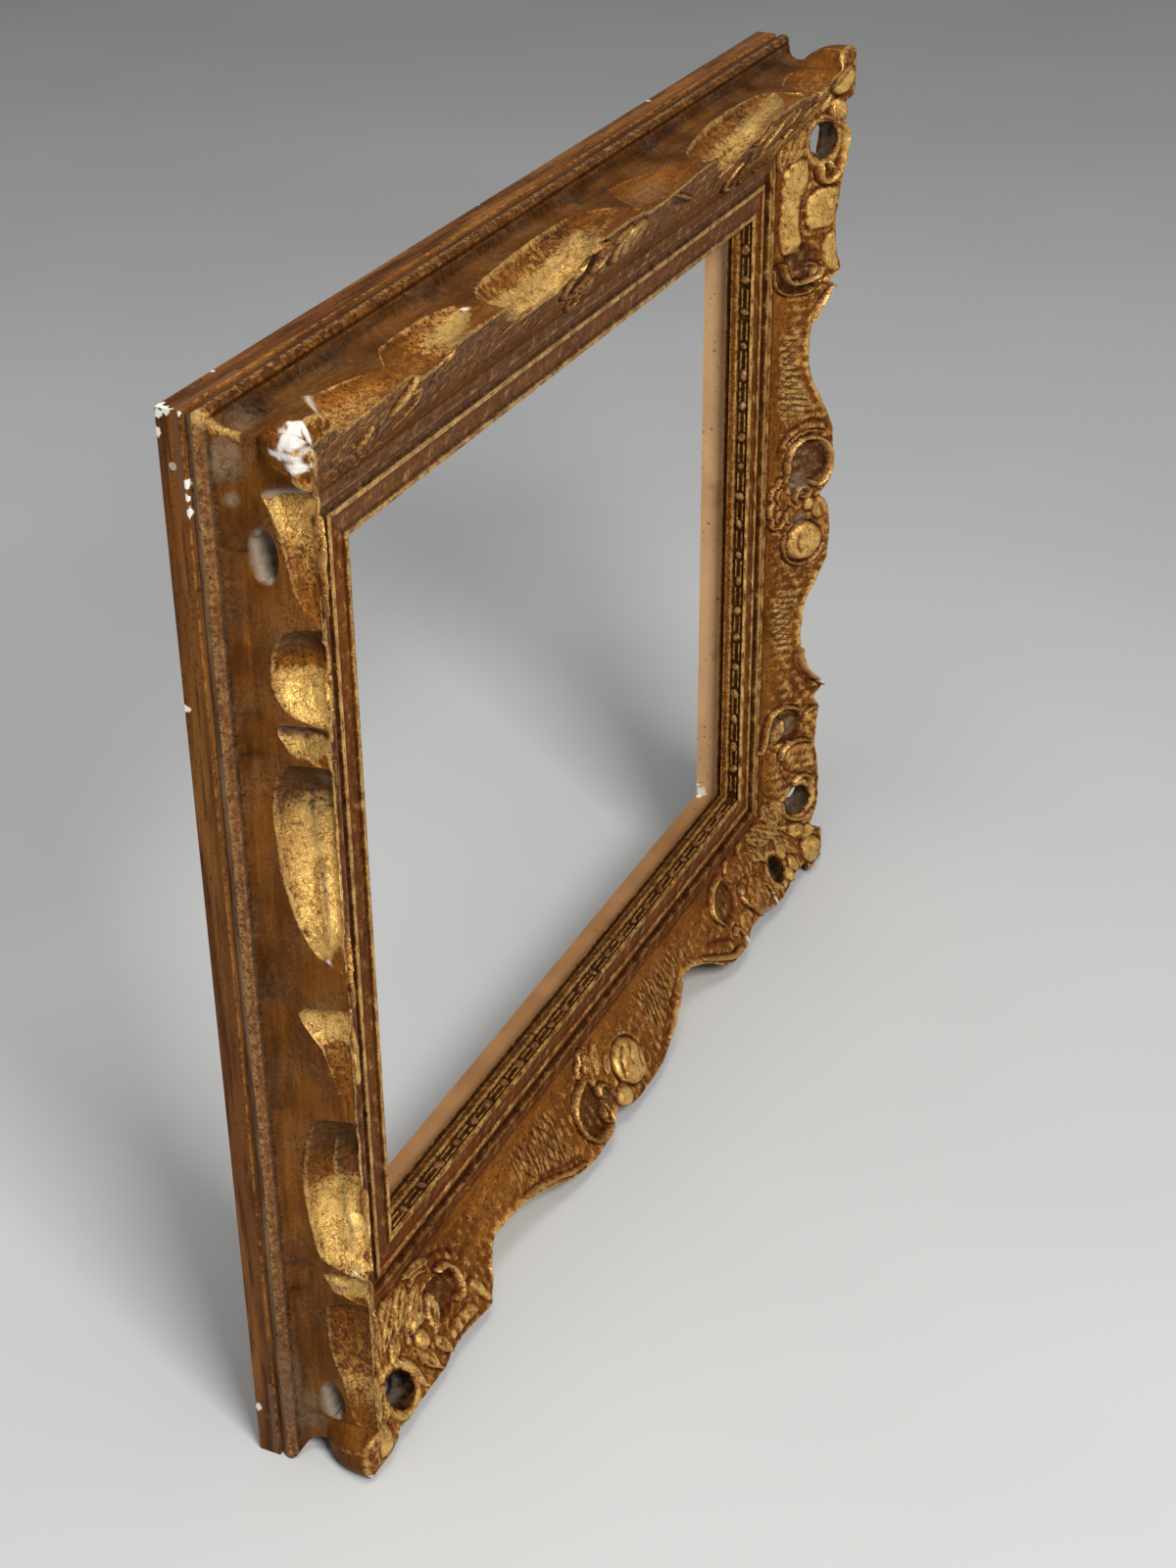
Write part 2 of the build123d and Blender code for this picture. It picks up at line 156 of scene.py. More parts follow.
def back_rail_finish(side, outward):
    """Toned edge where the face looks outward, ochre wash where it looks inward, raw pine behind."""
    pine = Finish("toned_pine_" + side)
    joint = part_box("back_rail_" + side)[0].y
    along = (1, 1, 0.06) if outward[0] else (0.06, 1, 1)
    surface = pine.add("NewGeometry")
    facing = pine.add("VectorMath", {0: surface.outputs["True Normal"], 1: outward},
                      operation="DOT_PRODUCT").outputs["Value"]
    grain = pine.noise(3.0, 6, 0.6, along, 0.4)
    streak = pine.noise(16, 4, 0.55, along, 0.8)
    chalk = pine.noise(3.2, 4, 0.6)
    spots = pine.band(pine.noise(1.8, 4, 0.6), 0.57, 0.64)
    raw = pine.mix(pine.band(streak, 0.35, 0.68), (150, 116, 78), (104, 74, 46))
    raw = pine.mix(pine.band(grain, 0.5, 0.75, 0, 0.55), raw, (74, 50, 30))
    # The ochre wash: painted light on the right rail, painted shade on the bottom rail.
    ochre = pine.mix(pine.band(pine.noise(38, 3), 0.35, 0.7), *rebate_wash_lit_and_shaded[side])
    ochre = pine.mix(pine.times(pine.band(pine.noise(2.6, 3), 0.66, 0.70), 0.8), ochre, (84, 48, 24))
    ochre = pine.mix(pine.band(pine.noise(22, 3), 0.60, 0.68, 0, 0.45), ochre, (140, 96, 60))
    toned = pine.mix(pine.band(streak, 0.36, 0.64), (112, 66, 24), (72, 38, 12))
    toned = pine.mix(pine.band(pine.noise(9, 6, 0.65, along), 0.5, 0.62, 0, 0.6), toned, (142, 92, 40))
    toned = pine.mix(pine.band(grain, 0.5, 0.62, 0, 0.65), toned, (52, 26, 9))
    toned = pine.mix(pine.times(spots, 0.6), toned, (36, 18, 7))
    # The half bead next to the carved rail is dusty, and darker on the top rail, and its quirk keeps a line
    # of gold.
    depth = pine.add("SeparateXYZ", {"Vector": surface.outputs["Position"]}).outputs["Y"]
    behind = pine.times(pine.calc("SUBTRACT", depth, joint), 1000)
    dusty = pine.mix(pine.band(grain, 0.4, 0.62), *half_bead_tones[side])
    dusty = pine.mix(pine.times(spots, 0.7), dusty, (44, 26, 16))
    toned = pine.mix(pine.band(behind, 3.8, 4.4, 1.0, 0.0), toned, dusty)
    line = pine.times(pine.band(behind, 4.6, 5.0), pine.band(behind, 5.3, 5.9, 1.0, 0.0))
    toned = pine.mix(pine.times(line, pine.band(chalk, 0.46, 0.6, 0.0, 0.75)), toned, (160, 112, 54))
    colour = pine.mix(pine.band(facing, 0.15, 0.3), raw, toned)
    colour = pine.mix(pine.band(facing, -0.3, -0.15, 1.0, 0.0), colour, ochre)
    bared = 0.0
    for across, back, up, radius in knocks[side]:
        gap = pine.gap(surface, (across / 1000, joint + back / 1000, up / 1000))
        ragged = pine.calc("ADD", gap, pine.band(chalk, 0.3, 0.7, -0.0016, 0.0016))
        bared = pine.calc("MAXIMUM", bared, pine.band(ragged, 0.0008 * radius, 0.001 * radius, 1.0, 0.0))
    pine.shade({"Base Color": pine.mix(bared, colour, (222, 216, 204)),
                "Roughness": pine.band(grain, 0.3, 0.8, 0.40, 0.62), "Specular IOR Level": 0.1})
    pine.relief(pine.calc("SUBTRACT", grain, pine.times(spots, 0.5)), 0.16, 0.7)
    return pine.material


for side, outward in outward_of.items():
    coat("back_rail_" + side, back_rail_finish(side, outward))


# Corner splines: thin tongues of hardwood glued into a slot across each mitre of the back rails.
# Only their long edges reach the outer sides of the corners, where they are toned like the rails.
beech = Finish("spline_beech")
beech_grain = beech.noise(2.5, 5, 0.6, (0.2, 1, 0.2))
beech.shade({"Base Color": beech.mix(beech_grain, (112, 68, 28), (78, 44, 16)), "Roughness": 0.7})
beech.relief(beech_grain, 0.1, 0.5)
frame_corners = ("top_left", "top_right", "bottom_left", "bottom_right")
for corner in frame_corners:
    coat("corner_spline_" + corner, beech.material)


# Corner nails: round steel wire nails driven across the back corners from the outer sides.
# Their heads are punched flush and stopped with grey filler, toned over except at the upper left.
bare_nail = (-0.306, 0.022, 0.509)
filler = Finish("filled_nail_heads")
filler_cloud = filler.noise(1.2, 4)
filler_bare = filler.mix(filler_cloud, (190, 180, 164), (120, 110, 96))
filler_toned = filler.mix(filler_cloud, (96, 56, 22), (58, 32, 12))
from_bare_nail = filler.gap(filler.add("NewGeometry"), bare_nail)
filler_colour = filler.mix(filler.band(from_bare_nail, 0.008, 0.009), filler_bare, filler_toned)
filler.shade({"Base Color": filler_colour, "Roughness": 0.75})
filler.relief(filler_cloud, 0.15, 0.7)
coat("corner_nails", filler.material)


# Carved front rails: four mitred lengths of limewood, carved with scrolls, leaves and bosses along a swept
# edge, then coated in gesso and red bole, water gilded and rubbed. They are glued on the back rails.
carved_low, carved_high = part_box("carved_rail_top")
side_low, side_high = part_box("carved_rail_left")
rail_width = (carved_high.z - carved_low.z) * 1000
joint_y = carved_high.y * 1000
middle_z = (side_low.z + side_high.z) * 500
half_tall = carved_low.z * 1000 - middle_z
half_wide = -side_high.x * 1000
rails = {
    "left": {"middle": (-half_wide, joint_y, middle_z), "along": (0, 0, 1), "half": half_tall},
    "right": {"middle": (half_wide, joint_y, middle_z), "along": (0, 0, -1), "half": half_tall},
    "top": {"middle": (0, joint_y, middle_z + half_tall), "along": (1, 0, 0), "half": half_wide},
    "bottom": {"middle": (0, joint_y, middle_z - half_tall), "along": (-1, 0, 0), "half": half_wide},
}

# Height above the glued face across the sight mouldings, from the sight edge outwards.
sight_profile = [(0, 15.6), (0.8, 16.4), (2.6, 16.4), (3.4, 15.3), (11.6, 15.2), (12.6, 15.2),
                 (13.2, 16.0), (15.4, 16.0), (16.0, 14.7), (21.0, 14.6), (21.8, 17.3),
                 (27.4, 17.4), (28.4, 17.5)]
sight_rows = [0, 0.4, 0.8, 1.7, 2.6, 3.0, 3.4, 5.2, 7.2, 9.2, 11.2, 12.6, 12.9, 13.2, 14.3, 15.4, 15.7,
              16.0, 17.2, 18.5, 19.8, 21.0, 21.4, 21.8, 23.2, 24.6, 26.0, 27.2, 28.0]
panel_start, panel_foot = sight_profile[-1]
panel_slope = 0.64
panel_rows = 58
ridge_height = 46.5
ridge_start = 67
carving_height = 46.8
# The ledge of the rebate, and how far the wall of the sight edge is cut back at each height above it:
# quirk, fillet, bead channel, crest.
ledge_width = 8.0
ledge_step = 0.5
inner_wall = [(0.5, 0), (0.9, 1.5), (1.6, 1.8), (2.4, 1.8), (3.0, 1.4), (3.3, 0.1), (3.8, 0), (5.2, 0),
              (6.8, 0), (7.3, 0.2), (7.6, 1.2), (8.2, 1.9), (8.8, 2.0), (9.2, 2.0), (9.5, 2.0),
              (9.8, 2.0), (10.4, 2.1), (11.1, 2.1), (11.8, 2.1), (12.4, 2.0), (12.7, 2.0), (13.0, 2.0),
              (13.6, 2.0), (14.1, 1.8), (14.6, 1.2), (14.9, 0.2), (15.2, 0)]
# Pearls sit in the bead channel, with two thin bars from one to the next. The quirk below is black.
pearl_pitch = 18.5
bar_heights = (9.5, 12.7)
bar_wide = 0.55
channel_low, channel_high = 7.2, 14.8
quirk_low, quirk_high = 0.6, 3.2
# The plain outer wall: how far out it stands at each height. Below it a bead runs down to the glued face.
outer_wall = [(4.5, 77), (6.5, 73.8), (9.5, 71.6), (13, 70.8), (18, 71.0), (24, 71.4), (32, 71.7),
              (47, 72)]
outer_bead = [(77.0, 4.1), (77.6, 3.7), (78.6, 4.0), (79.4, 3.6), (80.2, 2.7), (80.8, 1.4), (81.0, 0.0)]
edge_rows = 16
wall_rows = 18
column_step = 1.0
whole_edge = 71.6
edge_thickness = 0.8
lowest_cut = 12.5
nose_start, nose_run = 72, 5
# Which end of the left and top rails meets at the upper left corner.
upper_left_end = {"left": 1, "top": -1}
# Rows round the section, in their order from the ledge to the bead.
sight_wall_part = slice(2, 2 + len(inner_wall))
front_part = slice(sight_wall_part.stop, sight_wall_part.stop + len(sight_rows) + panel_rows)
edge_part = slice(front_part.stop, front_part.stop + edge_rows)
wall_part = slice(edge_part.stop, edge_part.stop + wall_rows)
bead_part = slice(wall_part.stop, wall_part.stop + len(outer_bead))

# The swept edge: how far out the front edge stands, along the rail. Past the sight corner it is the nose.
nose_edge = [(53, 71.5), (54.5, 74.5), (57, 78), (60, 79.8), (64, 80.7), (68, 81), (72, 80.9), (75, 80.3),
             (77, 79.2), (78.2, 78.2), (81, 74.5)]
swept_edge = {
    "right": [(-236, 68.5), (-230, 69), (-222, 69.3), (-200, 68.8), (-190, 67.8), (-180, 66.3),
              (-168, 65.3), (-160, 65.8), (-150, 66.8), (-143, 69), (-140, 69.3), (-138, 66.8),
              (-135, 62), (-131, 66.5), (-129.5, 66.5), (-125, 61.8), (-120, 57.8), (-115, 54.8),
              (-108, 52.3), (-100, 51.8), (-90, 51.8), (-80, 53.8), (-70, 57.3), (-60, 61.8), (-50, 66.3),
              (-40, 68.8), (-30, 69.8), (-20, 70.1), (-10, 69), (-5, 65.5), (-2, 63), (1, 64), (5, 66.8),
              (10, 68.3), (20, 69.5), (30, 69.8), (40, 68.8), (50, 65.3), (60, 59.8), (70, 55.3),
              (80, 53.8), (90, 53.3), (100, 54.3), (110, 56.3), (120, 61.3), (127, 67.8), (131, 69.8),
              (135, 66.5), (138, 63.5), (142, 65.8), (146, 67.8), (152, 67.3), (160, 66.8), (170, 65.8),
              (180, 67.3), (190, 68.8), (210, 69.8), (220, 69.3), (226, 67.5), (232, 65.5), (237, 67.5)],
    "bottom": [(-277, 69), (-268, 68.5), (-256, 69), (-240, 70.8), (-225, 70.8), (-215, 68), (-205, 66.8),
               (-195, 66.3), (-185, 66.8), (-178, 69.8), (-172, 70.8), (-165, 70.8), (-150, 69.3),
               (-140, 64.8), (-130, 58.5), (-120, 54.3), (-110, 51.3), (-100, 50.8), (-90, 53.8),
               (-80, 58.3), (-70, 62.3), (-60, 66.3), (-50, 69), (-40, 70.3), (-30, 71.2), (-10, 71.2),
               (0, 70.3), (5, 68.8), (10, 66.8), (15, 65.8), (20, 66.8), (25, 69.8), (30, 71), (40, 71.6),
               (50, 71.6), (60, 70.8), (70, 69.3), (80, 66.8), (90, 63.3), (100, 59.8), (110, 57.3),
               (120, 55.3), (130, 54.1), (140, 53.1), (150, 52.8), (155, 53.8), (160, 56.8), (165, 60.8),
               (170, 65.3), (175, 69), (179, 71.6), (185, 71.4), (195, 70.3), (203, 69.6), (210, 69.3),
               (220, 69.8), (230, 71.5), (250, 71.2), (277, 71.2)],
    "left": [(-237, 71.4), (-222, 71.2), (-207, 70.4), (-195, 69.4), (-180, 68.4), (-171, 68.6),
             (-165, 70.4), (-163, 71.3), (-160, 71.2), (-156, 70), (-152, 69.4), (-149, 70.2),
             (-147, 71.2), (-146, 71), (-143, 68.5), (-137, 62.5), (-128, 57.5), (-116, 54.5), (-104, 54),
             (-92, 56), (-80, 60), (-70, 65.5), (-60, 71), (-55, 71.5), (-45, 71), (-30, 69.5), (-20, 68),
             (-10, 66.5), (-4, 67.5), (1, 71.4), (12, 71.6), (30, 71.4), (36, 69.5), (42, 66), (50, 61),
             (60, 56), (72, 53), (88, 53.5), (100, 56.5), (109, 61.5), (115, 67), (118.5, 71.2),
             (120, 71.3), (121, 71.3), (125, 70.6), (129, 69.6), (132, 69.6), (135, 71), (136, 71.4),
             (138, 70.5), (143, 67), (150, 64), (158, 62.5), (166, 63), (172, 65.5), (177, 70),
             (180, 71.5), (183, 71.5), (196, 70.3), (214, 68.3), (226, 66.8), (233, 66.5), (237, 71.3)],
    "top": [(-277, 71.4), (-272, 68.5), (-262, 66.5), (-245, 68), (-228, 70), (-219, 71.3), (-217, 71.2),
            (-208, 67.5), (-198, 64.5), (-188, 64.5), (-180, 67.5), (-173, 71.2), (-150, 71.5),
            (-134, 71.3), (-126, 66.5), (-112, 60), (-92, 56), (-72, 56), (-54, 60), (-42, 66), (-34, 70),
            (-28, 71.3), (10, 71.4), (14, 69), (22, 67.5), (36, 67), (60, 69), (86, 71.3), (96, 71.2),
            (110, 66), (124, 61), (140, 58.5), (154, 60), (166, 65), (174, 70), (180, 71.3), (220, 71.5),
            (228, 69.5), (240, 67.5), (256, 66.8), (268, 68), (277, 71.3)],
}
# Where the gouge cuts in the outer wall run out, as heights along the rail.
gouge_foot = {
    "left": [(-262, 30), (-257, 24), (-250, 31), (-244, 42), (-241, 38), (-237, 33), (-230, 31),
             (-220, 29.3), (-211, 27.4), (-205, 24.7), (-194, 22.3), (-180, 21.6), (-171, 22.2),
             (-165, 30.5), (-162, 39), (-161, 32.7), (-159.8, 26.7), (-155, 24), (-151, 22), (-148.5, 28),
             (-147, 40), (-145.5, 30), (-142, 20.8), (-130, 18), (-120, 16), (-105, 15), (-90, 16),
             (-80, 18), (-70, 21), (-62, 26), (-57, 40), (-50, 39), (-30, 33), (-22, 30), (-16, 25),
             (-8, 20), (-4, 23), (0, 36), (2, 43), (21, 43), (24, 34), (30, 28.5), (40, 23), (50, 20),
             (60, 17.5), (75, 16), (90, 15), (100, 16.5), (110, 19.5), (116, 25), (118, 34), (119, 38),
             (120, 30), (121.5, 27), (125, 24), (130, 20.4), (133.5, 21.8), (135.5, 30), (137, 39),
             (138, 33), (139, 29), (143, 23.5), (152, 20), (162, 20.5), (169.4, 23), (175, 27.4),
             (178.6, 34.7), (180.5, 42), (182, 41.5), (193.5, 34.3), (203, 32), (213, 29.7), (221, 27.5),
             (226.7, 25.4), (231, 22.8), (233.5, 22), (235.5, 28), (237.5, 38), (240, 43)],
    "top": [(-277, 42), (-272, 36), (-264, 27), (-256, 19), (-245, 21), (-231, 25), (-220, 29.5),
            (-217, 31), (-205, 24), (-197, 18.7), (-178, 17), (-160, 17.5), (-145, 20.7), (-138, 25),
            (-136, 38), (-133, 34), (-122, 24), (-110, 20), (-90, 17.5), (-72, 16), (-40, 14.5),
            (-13, 16), (1, 22.5), (8, 31), (10, 40), (13, 38), (20, 28), (32, 15.8), (46, 16.5), (60, 21),
            (84, 27.5), (92, 33), (100, 28), (124, 22), (145, 18.5), (162, 16.6), (188, 16.2),
            (205, 17.5), (216, 19.5), (223, 24), (226, 36), (228, 40), (232, 31), (240, 25), (262, 20),
            (272, 22), (277, 36)],
}


def flowing(at, points):
    """A smooth curve through given points, with no overshoot between them."""
    x, y = np.array(points, float).T
    step = np.diff(x)
    rise = np.diff(y) / step
    same_way = rise[:-1] * rise[1:] > 0
    total = np.where(same_way, rise[:-1] + rise[1:], 1.0)
    slope = np.zeros_like(y)
    slope[1:-1] = np.where(same_way, 2 * rise[:-1] * rise[1:] / total, 0)
    at = np.clip(at, x[0], x[-1])
    k = np.clip(np.searchsorted(x, at) - 1, 0, len(step) - 1)
    u = (at - x[k]) / step[k]
    start = y[k] * (1 + 2 * u) * (1 - u) ** 2 + slope[k] * step[k] * u * (1 - u) ** 2
    return start + y[k + 1] * u * u * (3 - 2 * u) + slope[k + 1] * step[k] * u * u * (u - 1)


def wander(a, b, size, seed):
    """Soft unevenness of the hand, about -1 to 1, in patches of that size."""
    draw = np.random.default_rng(seed)
    total = 0
    for _ in range(7):
        turn = draw.uniform(0, 2 * math.pi)
        pace = 2 * math.pi * draw.uniform(0.6, 1.5) / size
        total = total + np.sin((a * math.cos(turn) + b * math.sin(turn)) * pace + draw.uniform(0, 6.3))
    return total / 4


def drawn_line(points, closed=False):
    """A line drawn smoothly through given points."""
    points = np.array(points, float)
    if closed:
        padded = np.concatenate([points[-1:], points, points[:2]])
    else:
        padded = np.concatenate([2 * points[:1] - points[1:2], points, 2 * points[-1:] - points[-2:-1]])
    line = []
    for a, b, c, d in zip(padded[:-3], padded[1:-2], padded[2:-1], padded[3:]):
        for u in np.linspace(0, 1, 6, endpoint=False):
            line.append(0.5 * (2 * b + (c - a) * u + (2 * a - 5 * b + 4 * c - d) * u ** 2
                               + (3 * b - a - 3 * c + d) * u ** 3))
    line.append(padded[-2])
    return np.array(line)


def rising(at, start, run):
    """0 up to the start and 1 from one run further on, with an even slope between."""
    return np.clip((at - start) / run, 0, 1)


def bell(at, middle, wide):
    """A soft bump that is 1 in the middle."""
    return np.exp(-((at - middle) / wide) ** 2)


def oval(a, b, centre, radii):
    """How far out a place lies in an oval, whose outline is at 1."""
    return np.hypot((a - centre[0]) / radii[0], (b - centre[1]) / radii[1])


class Relief:
    """Carving on one rail's front: its rise above the plain slope, and where leaf, bole and dirt lie."""

    def __init__(self, s, p, turn, shift):
        self.s = (s - shift) * turn
        self.p = p
        self.rise, self.leaf, self.bole, self.dust, self.hatch = np.zeros((5, *s.shape))

    def near(self, points, margin):
        low = np.min(points, axis=0) - margin
        high = np.max(points, axis=0) + margin
        inside = (self.s > low[0]) & (self.s < high[0]) & (self.p > low[1]) & (self.p < high[1])
        return np.nonzero(inside)

    def lay(self, layer, where, amount, inside=True):
        """Brings a layer up to an amount inside an outline, wherever it was less."""
        values = getattr(self, layer)
        values[where] = np.where(inside, np.maximum(values[where], amount), values[where])

    def distance(self, line, where):
        """How far each place is from a line, and the share of the line's length at its nearest point."""
        s, p = self.s[where], self.p[where]
        gap = np.full(s.shape, 99.0)
        share = np.zeros(s.shape)
        marks = np.linspace(0, 1, len(line))
        for start, end, first, last in zip(line[:-1], line[1:], marks[:-1], marks[1:]):
            leg = end - start
            u = np.clip(((s - start[0]) * leg[0] + (p - start[1]) * leg[1]) / max(leg @ leg, 1e-9), 0, 1)
            here = np.hypot(s - start[0] - u * leg[0], p - start[1] - u * leg[1])
            share = np.where(here < gap, first + u * (last - first), share)
            gap = np.minimum(gap, here)
        return gap, share

    def field(self, points, margin):
        """The places near a closed outline, how far each is from it, and which of them lie inside."""
        where = self.near(points, margin)
        line = drawn_line(points, closed=True)
        s, p = self.s[where], self.p[where]
        inside = np.zeros(s.shape, bool)
        for (s0, p0), (s1, p1) in zip(line[:-1], line[1:]):
            if p0 != p1:
                crossing = (p0 > p) != (p1 > p)
                inside ^= crossing & (s < (s1 - s0) * (p - p0) / (p1 - p0) + s0)
        return where, self.distance(line, where)[0], inside

    def rim(self, points, wide=2.6, high=2.8):
        """A rolled rim along a drawn line, thinning towards its ends."""
        where = self.near(points, 3 * wide)
        gap, share = self.distance(drawn_line(points), where)
        width = 0.52 * wide * (0.5 + 0.5 * np.sin(math.pi * np.clip(share, 0.06, 0.94)) ** 0.7)
        crown = np.sqrt(np.clip(1 - (gap / width) ** 2, 0, 1))
        outline = bell(gap, width + 0.4, 0.8)
        self.rise[where] -= 0.7 * outline
        self.lay("rise", where, high * crown, crown > 0)
        self.bole[where] *= crown == 0
        self.lay("bole", where, outline)
        self.lay("leaf", where, crown ** 2)

    def groove(self, points, wide=1.5, deep=1.2):
        """A line cut in with a veining tool, down to the bole."""
        where = self.near(points, 3 * wide)
        gap, share = self.distance(drawn_line(points), where)
        cut = bell(gap, 0, wide) * np.clip(8 * share, 0, 1) * np.clip(8 * (1 - share), 0, 1)
        self.rise[where] -= deep * cut
        self.lay("bole", where, cut)
        self.leaf[where] *= 1 - 0.7 * cut

    def dish(self, points, deep=3.0, dust=0.3):
        """A field cut down inside a drawn outline: steep sides, red near them, dusty in the middle."""
        where, gap, inside = self.field(points, 2)
        self.rise[where] -= deep * np.where(inside, 1 - np.exp(-gap / 1.1), 0)
        self.lay("bole", where, bell(gap, 2.2, 1.6), inside)
        self.lay("dust", where, dust * rising(gap, 3, 3), inside)
        self.leaf[where] *= np.where(inside, 0.2, 1)

    def pillow(self, points, high=2.0, leaf=0.55):
        """A raised flat field inside a drawn outline, with eased edges."""
        where, gap, inside = self.field(points, 4)
        swell = 1 - np.exp(-gap / 1.4)
        outline = bell(gap + 0.3 * inside, 0, 0.8)
        self.lay("rise", where, 0.6 * high * swell, inside)
        self.rise[where] -= 0.5 * outline
        self.lay("bole", where, 0.65 * outline)
        self.lay("leaf", where, leaf * swell, inside)

    def boss(self, centre, radii, high=2.4, groove=0.9):
        """A round or oval dome, set off by a groove."""
        where = self.near([centre], np.array(radii) + 4)
        q = oval(self.s[where], self.p[where], centre, radii)
        crown = np.sqrt(np.clip(1 - q ** 3.4, 0, 1))
        ring = bell(q * min(radii), 1.04 * min(radii), 1.0)
        self.lay("rise", where, high * crown, q < 1)
        self.lay("leaf", where, 0.3 + 0.7 * crown, q < 1)
        self.rise[where] -= groove * ring
        self.lay("bole", where, ring)

    def hollow(self, centre, radii, deep=2.5, dust=0.5):
        """A scooped place, where dirt settles."""
        where = self.near([centre], np.array(radii) + 1)
        bowl = np.clip(1 - oval(self.s[where], self.p[where], centre, radii) ** 2, 0, 1) ** 0.7
        self.rise[where] -= deep * bowl
        self.lay("dust", where, dust * bowl)

    def blade(self, root, tip, wide=3.0, high=2.0):
        """A narrow leaf from root to tip, cupped on both sides of its rib."""
        where = self.near([root, tip], wide + 1)
        root, tip = np.array(root, float), np.array(tip, float)
        length = np.hypot(*(tip - root))
        axis = (tip - root) / length
        ds, dp = self.s[where] - root[0], self.p[where] - root[1]
        t = (ds * axis[0] + dp * axis[1]) / length
        across = np.abs(dp * axis[0] - ds * axis[1])
        width = wide * np.sin(math.pi * np.clip(t, 0, 1) ** 0.8) + 0.01
        inside = (t > 0) & (t < 1) & (across < width)
        share = across / width
        rib = bell(share, 0, 0.2)
        edge = bell(across, width, 0.8) * (t > 0) * (t < 1)
        form = high * (0.5 + 0.5 * share ** 2 + 0.4 * rib) * np.clip(6 * (1.02 - share), 0, 1)
        self.lay("rise", where, form, inside)
        self.lay("leaf", where, 0.25 + 0.6 * share ** 3 + 0.5 * rib, inside)
        self.lay("bole", where, 0.8 * edge)
        self.rise[where] -= 0.5 * edge


